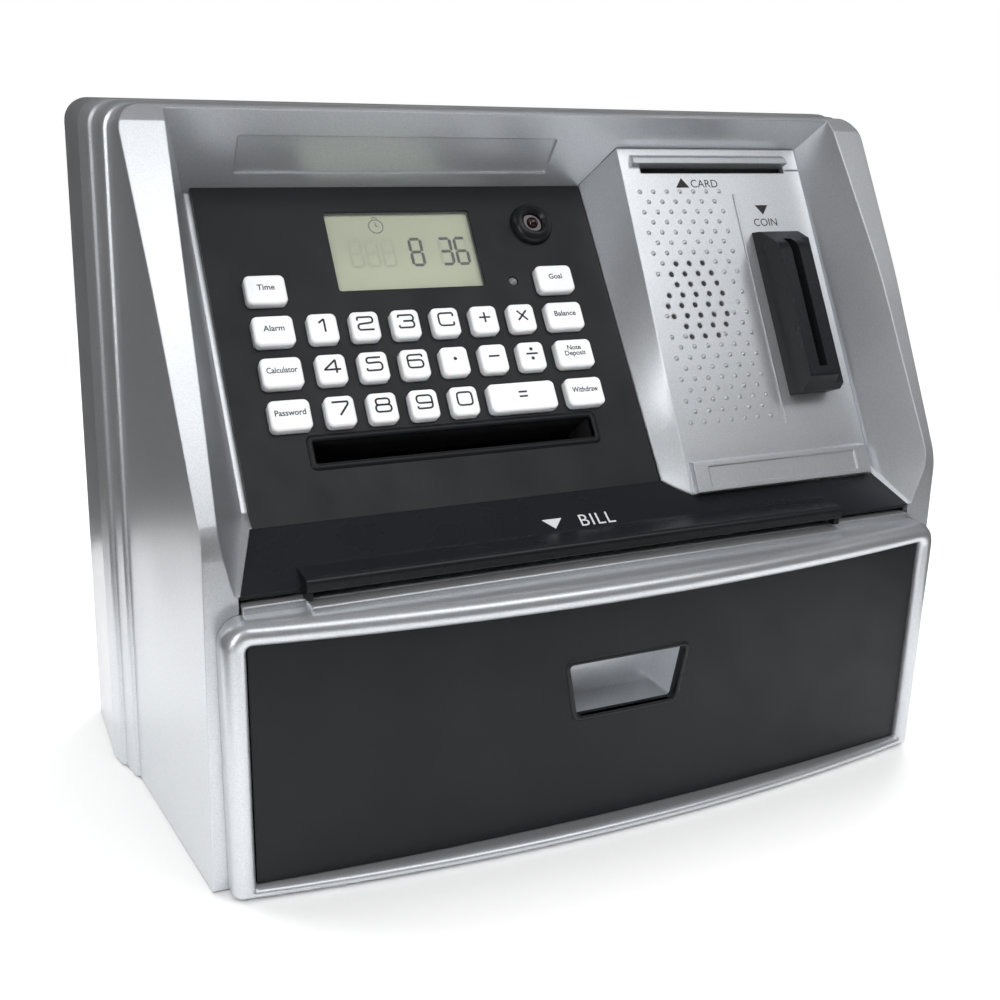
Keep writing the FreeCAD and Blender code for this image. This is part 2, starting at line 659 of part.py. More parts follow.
def camera_housing():
    """Domed ring of the dummy camera, standing on the panel."""
    body = new_body()
    radius, proud = size("dome_radius"), size("dome_proud")
    bore = size("lens_radius") + 0.05
    points = [Vector(bore, -2.0, 0), Vector(radius - 1.25, -2.0, 0),
              Vector(radius - 1.25, 0.02, 0), Vector(radius, 0.02, 0)]
    crown, top = Vector(radius - 0.8, proud * 0.72, 0), Vector(bore + 1.0, proud, 0)
    edges = [Part.LineSegment(a, b) for a, b in zip(points, points[1:])]
    edges.append(Part.Arc(points[-1], crown, top))
    edges.append(Part.LineSegment(top, Vector(bore, proud - 0.9, 0)))
    edges.append(Part.LineSegment(Vector(bore, proud - 0.9, 0), points[0]))
    profile = sketch(body, "XZ_Plane", edges)
    turn = body.newObject("PartDesign::Revolution", "turned")
    turn.Profile = profile
    turn.ReferenceAxis = (profile, ["V_Axis"])
    turn.Angle = 360
    place = SLOPE.multiply(Placement(Vector(size("dome_x"), size("dome_y"), 0), Rotation()))
    return finish("camera_housing", body, place)


def camera_lens():
    """Lens barrel with a small domed glass in the middle of the ring."""
    barrel = rod("dim.lens_radius", "3.4", "0", "0", "-2")
    glass = doc.addObject("Part::Sphere", "glass")
    bind(glass, Radius="dim.lens_radius * 0.62", Placement__Base__z="1.0")
    place = SLOPE.multiply(Placement(Vector(size("dome_x"), size("dome_y"), 0), Rotation()))
    return finish("camera_lens", fuse(barrel, glass), place)


def status_led():
    """Small lamp with a round nose, in its hole beside the camera."""
    stem = rod("dim.led_radius", "4.0", "dim.led_x", "dim.led_y", "-5")
    nose = doc.addObject("Part::Sphere", "nose")
    bind(nose, Radius="dim.led_radius", Placement__Base__x="dim.led_x",
         Placement__Base__y="dim.led_y", Placement__Base__z="-1.0")
    return finish("status_led", fuse(stem, nose), SLOPE)


def keypad_outline(margin):
    """U-shaped outline of the keypad parts: the side keys rise beside the window."""
    left = size("left_key_x") - size("left_key_width") / 2 - margin
    right = size("right_key_x") + size("right_key_width") / 2 + margin
    low = size("key_first_y") - 3 * size("key_pitch_y") - size("key_height") / 2 - 0.9
    shoulder = size("key_first_y") - size("key_pitch_y") + size("key_height") / 2 + 1.0
    high = size("key_first_y") + size("key_height") / 2 + 1.2
    return [(left, low), (right, low), (right, high), (right - 13.6, high),
            (right - 13.6, shoulder), (left + 13.6, shoulder), (left + 13.6, high), (left, high)]


def keypad_membrane():
    """Rubber sheet with a dome under every key."""
    under = "-2.3 - dim.key_flange_thick - dim.key_travel - dim.membrane_thick - 0.5"
    return finish("keypad_membrane", slab(keypad_outline(1.5), under, "dim.membrane_thick"), SLOPE)


def main_board():
    """Circuit board under the membrane, with the chip and plugs on its back."""
    face = size("key_flange_thick") + size("key_travel") + size("membrane_thick") + 2.8
    board = slab(keypad_outline(2.0), "%f - dim.board_thick" % -face, "dim.board_thick")
    back = -face - size("board_thick")
    chip = box("-48", "-6", "%f" % (back - 2), "14", "14", "2")
    plugs = [box("%f" % x, "-16", "%f" % (back - 5), "11", "5", "5") for x in (-74, -56, -20)]
    return finish("main_board", fuse(board, chip, *plugs), SLOPE)


def note_guide():
    """Chute that carries a note from the upper slot down to the drawer."""
    wide = "dim.note_right - dim.note_left + 3"
    low_wall = box("dim.note_left - 1.5", "dim.note_low - 1.6", "-16", wide, "1.4",
                   "13.8")
    high_wall = box("dim.note_left - 1.5", "dim.note_high + 0.2", "-16", wide,
                    "1.0", "13.8")
    ends = [box("%f" % x, "dim.note_low - 0.4", "-16", "1.4",
                "dim.note_high - dim.note_low + 0.8", "13.8")
            for x in (size("note_left") - 1.5, size("note_right") + 0.1)]
    return finish("note_guide", fuse(low_wall, high_wall, *ends), SLOPE)


# ---------------------------------------------------------------- card and coin panel
def wedge(inset, left, right):
    """Raised panel between console and brow, seen from the side."""
    reach = size("block_length")
    points = [(inset * 0.2, -inset), (reach - inset, -inset), (106.6 - inset, -14.1),
              (6.2 + inset, -3.25)]
    body = new_body()
    profile = sketch(body, "YZ_Plane", outline(points), "%f" % left)
    pad(body, profile, "%f" % (right - left))
    return body


def card_coin_panel():
    """Silver raised panel with the card slot, speaker grille, coin slot and label ledge."""
    left, face_left, right = size("block_left"), size("block_face_left"), size("block_right")
    wall, reach = size("block_wall"), size("block_length")
    outer = wedge(0.0, left, right)
    inner = fuse(wedge(wall, face_left + 1.0, right - wall),
                 box("%f" % (face_left + 1.0), "8.5", "-30",
                     "%f" % (right - wall - face_left - 1.0), "95", "27"))
    bevel = doc.addObject("Part::Feature", "bevel")
    corner, far = [[Vector(left - 5, y, 5), Vector(face_left, y, 5), Vector(face_left, y, 0),
                    Vector(left, y, depth), Vector(left - 5, y, depth)]
                   for y, depth in ((-5, -2.2), (reach + 5, -15.0))]
    wires = [Part.makePolygon(row + [row[0]]) for row in (corner, far)]
    bevel.Shape = outward(Part.makeLoft(wires, True, True))
    holes = [rod("dim.grille_hole_radius", "10", "dim.grille_x + (%f) * dim.grille_pitch_x" % i,
                 "dim.grille_y + (%f) * dim.grille_pitch_y" % j, "-6")
             for i, j in grille_places()]
    card = box("dim.card_left", "dim.card_low", "-9", "dim.card_right - dim.card_left",
               "dim.card_high - dim.card_low", "20")
    coin = box("dim.coin_x - dim.coin_gap / 2 - 1.5", "dim.coin_low + 8", "-9",
               "dim.coin_gap", "dim.coin_high - dim.coin_low - 14", "20")
    hood = side_prism([(106.4, -0.4), (110.2, -0.4), (108.4, 1.6), (106.4, 1.9)],
                      face_left + 4, right - 5.5)
    ledge = side_prism([(0.4, -0.5), (0.4, 2.6), (9.4, 2.6), (10.6, -0.5)],
                       face_left + 1.0, right - 2.2)
    label = rounded(face_left + 6, right - 7, 1.9, 8.0, "2.1", "2", 0.4)
    body = cut(fuse(cut(outer, inner, bevel), hood, cut(ledge, label)), card, coin, *holes)
    body.Placement = FACE
    return finish("card_coin_panel", common(body, recess_form("panel_room", -0.08)))


def grille_places():
    """Staggered rows of the speaker grille, as steps from its centre."""
    places = []
    for row, count in enumerate((3, 4, 4, 5, 5, 5, 4, 3)):
        shift = 0.25 if row in (2, 4, 6) else 0.0
        shift = -0.25 if row in (4,) else shift
        for column in range(count):
            places.append((column - (count - 1) / 2 + shift, 3.5 - row))
    return places


def speaker():
    """Small loudspeaker clipped behind the grille."""
    x, y = size("grille_x"), size("grille_y")
    rim = rod("dim.speaker_radius", "1.6", "%f" % x, "%f" % y, "-4.1")
    basket = doc.addObject("Part::Cone", "basket")
    bind(basket, Radius1="7", Radius2="dim.speaker_radius - 1", Height="3",
         Placement__Base__x="dim.grille_x", Placement__Base__y="dim.grille_y",
         Placement__Base__z="-7.1")
    magnet = rod("8", "4", "%f" % x, "%f" % y, "-11.1")
    return finish("speaker", fuse(rim, basket, magnet), FACE)


def coin_slot_housing():
    """Black guide standing on the panel, slotted along its length for a coin."""
    low, high, proud = size("coin_low"), size("coin_high"), size("coin_proud")
    body = new_body()
    points = [(low, 0.02), (high, 0.02), (high - 1.5, 4.5), (high - 9.0, proud),
              (low + 2.5, proud), (low - 1.0, proud - 5.5)]
    profile = sketch(body, "YZ_Plane", outline(points, [0, 0, 3.0, 6.0, 1.2, 1.2]),
                     "dim.coin_x - dim.coin_width / 2")
    pad(body, profile, "dim.coin_width")
    chute = box("dim.coin_x - dim.coin_gap / 2 - 1.5", "dim.coin_low + 5.5", "-4",
                "dim.coin_gap", "dim.coin_high - dim.coin_low - 11.5", "30")
    shoulder = box("dim.coin_x + dim.coin_width / 2 - 3.4", "dim.coin_low - 5",
                   "dim.coin_proud - 3.2", "6", "80", "8")
    return finish("coin_slot_housing", cut(body, chute, shoulder), FACE)


def coin_chute():
    """Channel behind the coin slot that drops coins into the drawer."""
    x = size("coin_x") - 1.5
    outer = side_prism([(-22, 100), (8, 140), (18, 132), (2, 74), (-15, 74), (-22, 90)],
                       x - 3.4, x + 3.4)
    inner = side_prism([(-20.6, 99), (7, 141.5), (10, 141), (16.6, 131.6), (0.6, 72),
                        (-13.8, 72), (-20.6, 90)], x - 2.0, x + 2.0)
    return finish("coin_chute", cut(outer, inner))


def card_switch():
    """Microswitch that the card presses, above the back of the slot."""
    case = box("60", "92", "-12.5", "13", "6.5", "6.5")
    lever = box("61", "98.5", "-7.2", "11", "3.5", "0.6")
    return finish("card_switch", fuse(case, lever), FACE)


# ---------------------------------------------------------------- bill ledge and feeder
def ledge_plate(grow, base, thick):
    """Plate between the cheeks, narrower towards the console."""
    half_front, half_back = size("opening_half") - 0.4 + grow, 98.7 + grow
    right_back = 97.6 + grow
    reach = size("ledge_length")
    return slab([(-half_front, 0.3 - 5 * grow), (half_front, 0.3 - 5 * grow),
                 (right_back, reach + grow), (-half_back, reach + grow)], base, thick)


def bill_ledge():
    """Black ledge between the cheeks, with a hood over the lower bill slot."""
    plate = ledge_plate(0.0, "-dim.ledge_thick", "dim.ledge_thick")
    left, right, tip = size("hood_left"), size("hood_right"), size("hood_tip")
    under, over = 82.7, 86.5
    plate.Placement = LEDGE
    hood = side_prism([(tip, under), (-50.0, under), (-44.0, under + 1.8), (-43.0, 88.2),
                       (tip + 9.5, over), (tip, over)], left, right,
                      [0.6, 0, 0, 0, 3.0, 1.5])
    caps = [side_prism([(tip + 1.0, 80.5), (-52.4, 80.5), (-51.0, 83.5), (tip + 1.0, 83.5)],
                       x, x + 1.8, [0.5, 0, 0, 0]) for x in (left, right - 1.8)]
    return finish("bill_ledge", cut(fuse(plate, hood, *caps), note_passage()))


def feeder_frame():
    """Two side plates and a bar that carry the feed rollers and the motor."""
    depth, low, high = size("roller_depth"), 66.0, 91.2
    plates = [box("%f" % x, "%f" % (depth - 8), "%f" % low, "2", "28", "%f" % (high - low))
              for x in (-83.0, 72.0)]
    bar = box("-81.5", "%f" % (depth + 18), "%f" % (low + 0.6), "154", "2", "5")
    bores = [rod("dim.shaft_radius + 0.05", "190", "-95", "dim.roller_depth",
                 "dim.roller_height - %f" % drop, "x") for drop in (0.0, size("roller_gap"))]
    nose = rod("3.05", "4", "-84", "%f" % motor_place()[0], "%f" % motor_place()[1], "x")
    return finish("feeder_frame", cut(fuse(bar, *plates), nose, *bores))


def sleeves(height):
    """Three rubber sleeves on a shaft."""
    return [cut(rod("dim.roller_radius", "14", "%f" % x, "dim.roller_depth", height, "x"),
                rod("dim.shaft_radius", "16", "%f" % (x - 1), "dim.roller_depth", height, "x"))
            for x in (-50.0, -7.0, 36.0)]


def feed_tyres():
    group = doc.addObject("Part::Compound", "sleeve_group")
    group.Links = sleeves("dim.roller_height")
    return finish("feed_tyres", group)


def pinch_roller():
    """Idle roller that presses the note against the driven tyres."""
    height = "dim.roller_height - dim.roller_gap"
    shaft = rod("dim.shaft_radius", "159", "-84.5", "dim.roller_depth", height, "x")
    drums = [rod("dim.roller_radius", "14", "%f" % x, "dim.roller_depth", height, "x")
             for x in (-50.0, -7.0, 36.0)]
    return finish("pinch_roller", fuse(shaft, *drums))


def spur_gear(teeth, y, z, phase):
    """Spur gear with straight-flanked teeth, its axis along x."""
    module = size("gear_module")
    pitch, outer = module * teeth / 2, module * (teeth / 2 + 0.9)
    root = module * (teeth / 2 - 1.2)
    body = new_body("gear")
    ring = [Part.Circle(Vector(0, 0, 0), Vector(0, 0, 1), root)]
    pad(body, sketch(body, "XY_Plane", ring), "dim.gear_width")
    half_pitch = 0.40 * math.pi * module / 2
    half_tip = 0.42 * module / 2
    half_root = 0.62 * math.pi * module / 2
    tooth = [(root - 0.3, -half_root), (pitch, -half_pitch), (outer, -half_tip),
             (outer, half_tip), (pitch, half_pitch), (root - 0.3, half_root)]
    tooth_pad = pad(body, sketch(body, "XY_Plane", outline(tooth)), "dim.gear_width")
    doc.recompute()
    pattern = body.newObject("PartDesign::PolarPattern", "teeth")
    pattern.Originals = [tooth_pad]
    axis = [item for item in body.Origin.OriginFeatures if item.Role == "Z_Axis"][0]
    pattern.Axis = (axis, [""])
    pattern.Angle = 360
    pattern.Occurrences = int(teeth)
    body.Tip = pattern
    doc.recompute()
    turn = Rotation(Vector(0, 1, 0), 90).multiply(Rotation(Vector(0, 0, 1), phase))
    body.Placement = Placement(Vector(size("gear_x") - 1.0, y, z), turn)
    return body


def motor_place():
    """Depth and height of the motor's axis: below and behind the feed shaft."""
    centres = size("gear_module") * (size("gear_teeth") + size("pinion_teeth")) / 2 + 0.1
    angle = math.radians(size("mesh_angle"))
    return (size("roller_depth") + centres * math.cos(angle),
            size("roller_height") - centres * math.sin(angle))


def feed_shaft():
    """Driven shaft moulded in one with its gear."""
    gear = spur_gear(size("gear_teeth"), size("roller_depth"), size("roller_height"),
                     90.0 - size("mesh_angle"))
    shaft = rod("dim.shaft_radius", "163", "dim.gear_x - 1", "dim.roller_depth",
                "dim.roller_height", "x")
    return finish("feed_shaft", fuse(gear, shaft))


def motor_pinion():
    """Motor shaft with the pinion pressed on its end."""
    depth, height = motor_place()
    half_step = 180.0 / size("pinion_teeth")
    gear = spur_gear(size("pinion_teeth"), depth, height, 270.0 - size("mesh_angle") + half_step)
    shaft = rod("1.0", "20", "dim.gear_x - 1", "%f" % depth, "%f" % height, "x")
    return finish("motor_pinion", fuse(gear, shaft))


def feeder_motor():
    """Small motor beside the feed rollers."""
    depth, height = ["%f" % value for value in motor_place()]
    can = rod("7.5", "25", "-81", depth, height, "x")
    nose = rod("3", "2.0", "-82.8", depth, height, "x")
    bore = rod("1.05", "16", "-83.5", depth, height, "x")
    return finish("feeder_motor", cut(fuse(can, nose), bore))


# ---------------------------------------------------------------- battery bay
def battery_box():
    """Open tray for the cells, set in from the back."""
    left, right = size("battery_left"), size("battery_right")
    low, high = size("battery_low"), size("battery_high")
    back = size("back_face") - 4.2
    outer = box("dim.battery_left - 1.8", "%f - dim.battery_deep" % back,
                "dim.battery_low - 1.8", "dim.battery_right - dim.battery_left + 3.6",
                "dim.battery_deep", "dim.battery_high - dim.battery_low + 3.6")
    inner = box("dim.battery_left", "%f - dim.battery_deep" % (back + 1.8), "dim.battery_low",
                "dim.battery_right - dim.battery_left", "30",
                "dim.battery_high - dim.battery_low")
    ribs = []
    for step in range(1, 4):
        x = left + (right - left) * step / 4
        ribs.append(box("%f" % (x - 0.6), "%f" % (back - size("battery_deep") + 1.7),
                        "%f" % (low + 6), "1.2", "5", "%f" % (high - low - 12)))
    return finish("battery_box", fuse(cut(outer, inner), *ribs))


def battery_contacts():
    """Flat contacts at both ends of each cell."""
    left, right = size("battery_left"), size("battery_right")
    step = (right - left) / 4
    y = size("back_face") - 4.2 - size("battery_deep") + 4.0
    plates = []
    for index in range(4):
        for z in (size("battery_low") + 0.05, size("battery_high") - 0.65):
            plates.append(box("%f" % (left + step * index + 4), "%f" % y, "%f" % z,
                              "%f" % (step - 8), "10", "0.6"))
    group = doc.addObject("Part::Compound", "contact_group")
    group.Links = plates
    return finish("battery_contacts", group)


def battery_cover():
    """Cover of the battery bay, flush with the back, with grip ribs."""
    left, right = size("battery_left"), size("battery_right")
    low, high = size("battery_low"), size("battery_high")
    body = front_view_prism(rectangle(left - 0.1, right + 0.1, low - 0.1, high + 0.1),
                            [1.0] * 4, size("back_face") - 2.2, size("back_face"))
    grips = [box("-10", "dim.back_face - 0.2", "%f" % (high - 8 - 3 * index), "20",
                 "0.7", "1.2") for index in range(4)]
    return finish("battery_cover", fuse(body, *grips))


# ---------------------------------------------------------------- build and write
def build():
    for entry in key_table():
        key(*entry)
    for make in (front_shell, back_cover, case_screws, base_plate, rubber_feet, door_frame,
                 drawer_front, handle_cup, drawer_tray, drawer_latch, latch_solenoid,
                 console_panel, lcd_window, lcd_module, camera_housing, camera_lens, status_led,
                 keypad_membrane, main_board, note_guide, card_coin_panel, speaker,
                 coin_slot_housing, coin_chute, card_switch, bill_ledge, feeder_frame,
                 feed_shaft, feed_tyres, pinch_roller, motor_pinion, feeder_motor, battery_box,
                 battery_contacts, battery_cover):
        make()


def check():
    """Stops if any feature failed or any sub-part has no valid solid."""
    failed = ["%s (%s)" % (obj.Name, obj.TypeId) for obj in doc.Objects
              if "Invalid" in obj.State or "Error" in obj.State]
    if failed:
        raise RuntimeError("failed: " + ", ".join(failed))
    for label, obj in NODES.items():
        shape = obj.Shape
        if shape.isNull() or not shape.isValid() or not shape.Solids:
            raise RuntimeError("%s has no valid solid" % label)


def write():
    os.makedirs("parts", exist_ok=True)
    for label, obj in NODES.items():
        obj.Shape.exportStep("parts/%s.step" % label)
        reach = obj.Shape.BoundBox
        print("%-18s %d solids  x %.1f..%.1f  y %.1f..%.1f  z %.1f..%.1f" % (
            label, len(obj.Shape.Solids), reach.XMin, reach.XMax, reach.YMin, reach.YMax,
            reach.ZMin, reach.ZMax))
    print(len(NODES), "sub-parts")


build()
doc.recompute()
check()
write()
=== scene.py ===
"""Looks of the toy cash machine bank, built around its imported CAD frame."""
import json
import math

import bmesh
import bpy
from mathutils import Matrix, Vector


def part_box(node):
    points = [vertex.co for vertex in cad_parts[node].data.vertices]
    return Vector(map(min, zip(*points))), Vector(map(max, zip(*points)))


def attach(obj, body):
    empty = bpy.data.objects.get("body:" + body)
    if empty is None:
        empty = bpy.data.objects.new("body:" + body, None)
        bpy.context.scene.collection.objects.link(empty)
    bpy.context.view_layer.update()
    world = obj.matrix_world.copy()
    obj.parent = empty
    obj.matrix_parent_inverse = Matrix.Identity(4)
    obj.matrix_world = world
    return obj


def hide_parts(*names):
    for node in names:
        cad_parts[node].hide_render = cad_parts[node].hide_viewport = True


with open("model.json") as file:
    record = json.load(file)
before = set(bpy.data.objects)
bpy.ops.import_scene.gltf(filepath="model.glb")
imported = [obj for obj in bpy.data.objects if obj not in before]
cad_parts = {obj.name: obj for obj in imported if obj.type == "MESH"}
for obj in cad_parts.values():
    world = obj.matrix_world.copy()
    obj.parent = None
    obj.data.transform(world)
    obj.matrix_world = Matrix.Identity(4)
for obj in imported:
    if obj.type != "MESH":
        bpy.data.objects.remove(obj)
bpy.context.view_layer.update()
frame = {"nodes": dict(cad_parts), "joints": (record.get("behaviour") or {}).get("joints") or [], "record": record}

MM = 0.001
NODES = frame["nodes"]
RECORD = frame["record"]
X_AXIS = Vector((1, 0, 0))

# Slopes of the CAD faces that carry prints, as directions in y and z.
CONSOLE_AIM = (0, -0.811, 0.585)
COIN_PANEL_AIM = (0, -0.87, 0.494)
LEDGE_AIM = (0, -0.539, 0.842)
ALIGNED = 0.99  # least cosine between a face and such a direction


# ---------------------------------------------------------------- shader helpers
class Shader:
    """A Principled material whose nodes are added by short calls."""

    def __init__(self, name, colour, roughness, **sockets):
        self.material = bpy.data.materials.new(name)
        self.material.use_nodes = True
        self.tree = self.material.node_tree
        self.surface = self.tree.nodes["Principled BSDF"]
        self.place = self.tree.nodes.new("ShaderNodeTexCoord").outputs["Object"]
        self.colour = tuple(colour) + (1.0,)
        self.surface.inputs["Base Color"].default_value = self.colour
        self.surface.inputs["Roughness"].default_value = roughness
        for socket, value in sockets.items():
            self.surface.inputs[socket.replace("_", " ")].default_value = value

    def node(self, kind, **values):
        node = self.tree.nodes.new(kind)
        for socket, value in values.items():
            node.inputs[socket.replace("_", " ")].default_value = value
        return node

    def link(self, source, target):
        self.tree.links.new(source, target)

    def noise(self, scale, detail=3.0, stretch=None):
        """A noise value over the piece's own metres; stretch scales each axis."""
        texture = self.node("ShaderNodeTexNoise", Scale=scale, Detail=detail)
        place = self.place
        if stretch:
            mapping = self.node("ShaderNodeMapping", Scale=stretch)
            self.link(place, mapping.inputs["Vector"])
            place = mapping.outputs["Vector"]
        self.link(place, texture.inputs["Vector"])
        return texture.outputs["Fac"]

    def flakes(self, scale):
        """A random value for each small cell, as metal flakes have."""
        texture = self.node("ShaderNodeTexVoronoi", Scale=scale)
        self.link(self.place, texture.inputs["Vector"])
        return texture.outputs["Color"]

    def spread(self, value, low, high, start=0.3, stop=0.7):
        """The value drawn out from its middle range to low..high."""
        ramp = self.node("ShaderNodeMapRange", From_Min=start, From_Max=stop,
                         To_Min=low, To_Max=high)
        self.link(value, ramp.inputs["Value"])
        return ramp.outputs["Result"]

    def roughen(self, value, low, high):
        """A roughness that wanders from low to high."""
        self.link(self.spread(value, low, high), self.surface.inputs["Roughness"])

    def tint(self, value, low, high):
        """The base colour times a factor that wanders from low to high."""
        mix = self.node("ShaderNodeVectorMath")
        mix.operation = "SCALE"
        mix.inputs[0].default_value = self.colour[:3]
        self.link(self.spread(value, low, high), mix.inputs["Scale"])
        self.link(mix.outputs["Vector"], self.surface.inputs["Base Color"])

    def bump(self, value, depth, strength=1.0, edge=0.0):
        """Fine relief; edge is the radius that softens sharp edges, in metres."""
        bump = self.node("ShaderNodeBump", Strength=strength, Distance=depth)
        if edge:
            soft = self.node("ShaderNodeBevel", Radius=edge)
            soft.samples = 4
            self.link(soft.outputs["Normal"], bump.inputs["Normal"])
        self.link(value, bump.inputs["Height"])
        self.link(bump.outputs["Normal"], self.surface.inputs["Normal"])


def silver_paint():
    """Metallic silver paint: fine flakes, a faint orange peel, softened edges."""
    s = Shader("silver_paint", (0.66, 0.68, 0.71), 0.33, Metallic=0.80, Coat_Weight=0.25,
               Coat_Roughness=0.22)
    flakes = s.flakes(5200.0)
    split = s.node("ShaderNodeSeparateColor")
    s.link(flakes, split.inputs["Color"])
    cloud = s.noise(24.0, 4.0)
    s.tint(split.outputs["Red"], 0.94, 1.06)
    s.roughen(cloud, 0.29, 0.37)
    peel = s.noise(1400.0, 2.0)
    s.bump(peel, 0.00004, 0.3, 0.0006)
    return s.material


def satin_black(name, colour, low, high, grain, depth):
    """Smooth black plastic whose roughness lies between low and high."""
    s = Shader(name, colour, high, Specular_IOR_Level=0.28)
    s.roughen(s.noise(70.0, 5.0), low, high)
    s.tint(s.noise(9.0, 4.0), 0.85, 1.2)
    s.bump(s.noise(grain, 3.0), depth, 0.5)
    return s.material


def key_white():
    """Slightly translucent white key plastic."""
    s = Shader("key_white", (0.74, 0.75, 0.77), 0.34, Subsurface_Weight=0.12,
               Subsurface_Scale=0.002)
    s.roughen(s.noise(160.0, 4.0), 0.28, 0.42)
    s.tint(s.noise(45.0, 4.0), 0.96, 1.03)
    s.bump(s.noise(2600.0, 2.0), 0.00002, 0.4)
    return s.material


def moulded(name, colour, roughness):
    """Plain moulded plastic or rubber with a fine grain."""
    s = Shader(name, colour, roughness)
    s.roughen(s.noise(90.0, 5.0), roughness - 0.07, roughness + 0.07)
    s.tint(s.noise(18.0, 4.0), 0.88, 1.12)
    s.bump(s.noise(1800.0, 3.0), 0.00004, 0.45)
    return s.material


def plated(name, colour, roughness):
    """Bare or plated metal, brushed along z."""
    s = Shader(name, colour, roughness, Metallic=1.0)
    s.roughen(s.noise(260.0, 5.0, (1.0, 1.0, 9.0)), roughness - 0.08, roughness + 0.1)
    s.tint(s.noise(60.0, 4.0), 0.85, 1.1)
    s.bump(s.noise(900.0, 3.0), 0.00003, 0.4)
    return s.material


def clear_window():
    """The display's clear cover."""
    s = Shader("clear_window", (0.96, 0.98, 0.97), 0.06, Alpha=0.05,
               Specular_IOR_Level=0.5)
    s.roughen(s.noise(40.0, 3.0), 0.04, 0.10)
    return s.material


def lcd_glass():
    """Reflective display: a grey green sheet with a faint fine grain."""
    s = Shader("lcd_glass", (0.300, 0.330, 0.225), 0.42, Specular_IOR_Level=0.4)
    s.tint(s.noise(30.0, 3.0), 0.93, 1.06)
    s.roughen(s.noise(300.0, 3.0), 0.38, 0.48)
    s.bump(s.noise(3000.0, 2.0), 0.00001, 0.3)
    return s.material


def glossy(name, colour, roughness, **sockets):
    """Lacquered or polished plastic under a clear coat."""
    s = Shader(name, colour, roughness, Coat_Weight=0.5, Coat_Roughness=0.05, **sockets)
    s.roughen(s.noise(120.0, 4.0), roughness * 0.8, roughness * 1.3)
    s.tint(s.noise(50.0, 3.0), 0.85, 1.15)
    s.bump(s.noise(800.0, 2.0), 0.00001, 0.3)
    return s.material


MATERIALS = {
    "silver_paint": silver_paint(),
    "black_satin": satin_black("black_satin", (0.0065, 0.0075, 0.0095), 0.34, 0.46,
                               2600.0, 0.00003),
    "gloss_black": satin_black("gloss_black", (0.010, 0.011, 0.013), 0.26, 0.30,
                               900.0, 0.000008),
    "black_plastic": moulded("black_plastic", (0.022, 0.022, 0.024), 0.5),
    "grey_plastic": moulded("grey_plastic", (0.12, 0.125, 0.13), 0.5),
    "key_white": key_white(),
    "clear_window": clear_window(),
    "lcd_glass": lcd_glass(),
    "lens_black": glossy("lens_black", (0.02, 0.008, 0.008), 0.08),
    "lamp_clear": glossy("lamp_clear", (0.16, 0.16, 0.16), 0.16),
    "foot_rubber": moulded("foot_rubber", (0.03, 0.03, 0.03), 0.8),
    "membrane_rubber": moulded("membrane_rubber", (0.10, 0.10, 0.105), 0.7),
    "circuit_board": glossy("circuit_board", (0.02, 0.12, 0.045), 0.35),
    "speaker_steel": plated("speaker_steel", (0.16, 0.16, 0.17), 0.45),
    "zinc_steel": plated("zinc_steel", (0.60, 0.60, 0.62), 0.34),
    "copper_coil": plated("copper_coil", (0.62, 0.26, 0.10), 0.38),
    "white_nylon": moulded("white_nylon", (0.72, 0.72, 0.69), 0.45),
}
INKS = {
    "ink_black": moulded("ink_black", (0.012, 0.012, 0.014), 0.5),
    "ink_silver": moulded("ink_silver", (0.50, 0.51, 0.53), 0.45),
    "segment_dark": moulded("segment_dark", (0.012, 0.015, 0.012), 0.5),
    "segment_faint": moulded("segment_faint", (0.262, 0.290, 0.197), 0.45),
}


def paint_nodes():
    """Every CAD node gets the material of its slot in the record."""
    for row in RECORD["subparts"]:
        data = NODES[row["node"]].data
        data.materials.clear()
        data.materials.append(MATERIALS[row["material_slot"]])


# ---------------------------------------------------------------- places on the CAD
class Face:
    """A flat face of the CAD: x across, v up the slope, w out of it, in millimetres.

    The height is its distance from the origin in metres, and start is where v is 0.
    """

    def __init__(self, normal, height):
        self.out = Vector(normal).normalized()
        self.up = self.out.cross(X_AXIS).normalized()
        self.height = height
        self.start = 0.0

    def at(self, x, v, w=0.0):
        """The place in metres."""
        reach = X_AXIS * x + self.up * (v + self.start) + self.out * w
        return reach * MM + self.out * self.height

    def matrix(self, x, v, w=0.0):
        """Lays a piece made flat round the origin on the face."""
        turn = Matrix((X_AXIS, self.up, self.out)).transposed().to_4x4()
        return Matrix.Translation(self.at(x, v, w)) @ turn

    def of(self, point):
        """(x, v) of a point in metres."""
        return point.x / MM, point.dot(self.up) / MM - self.start


def widest_face(node, aim):
    """The plane with the most area on a node, of those that look along aim.

    Its v is 0 at the plane's lowest point.
    """
    aim = Vector(aim).normalized()
    planes = {}
    for polygon in NODES[node].data.polygons:
        if polygon.normal.dot(aim) > ALIGNED:
            height = polygon.center.dot(polygon.normal)
            planes.setdefault(round(height, 4), []).append(polygon)
    polygons = max(planes.values(), key=lambda plane: sum(p.area for p in plane))
    normal = polygons[0].normal
    face = Face((0, normal.y, normal.z), polygons[0].center.dot(normal))
    points = [NODES[node].data.vertices[i].co for p in polygons for i in p.vertices]
    face.start = min(point.dot(face.up) for point in points) / MM
    return face


def outward():
    """The direction that the key tops look in: the reverse of a key's travel."""
    travel = next(joint["axis"] for joint in frame["joints"]
                  if joint["name"].startswith("press_"))
    return -Vector(travel).normalized()


def top_face(node):
    """The plane along the key tops that touches the node's highest point."""
    out = outward()
    return Face(out, max(vertex.co.dot(out) for vertex in NODES[node].data.vertices))


# ---------------------------------------------------------------- making pieces
def new_piece(name, mesh, material, body, matrix=None):
    """An object from a mesh, laid by the matrix, that rides on a body."""
    mesh.materials.clear()
    mesh.materials.append(material)
    piece = bpy.data.objects.new(name, mesh)
    bpy.context.scene.collection.objects.link(piece)
    if matrix is not None:
        mesh.transform(matrix)
    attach(piece, body)
    return piece


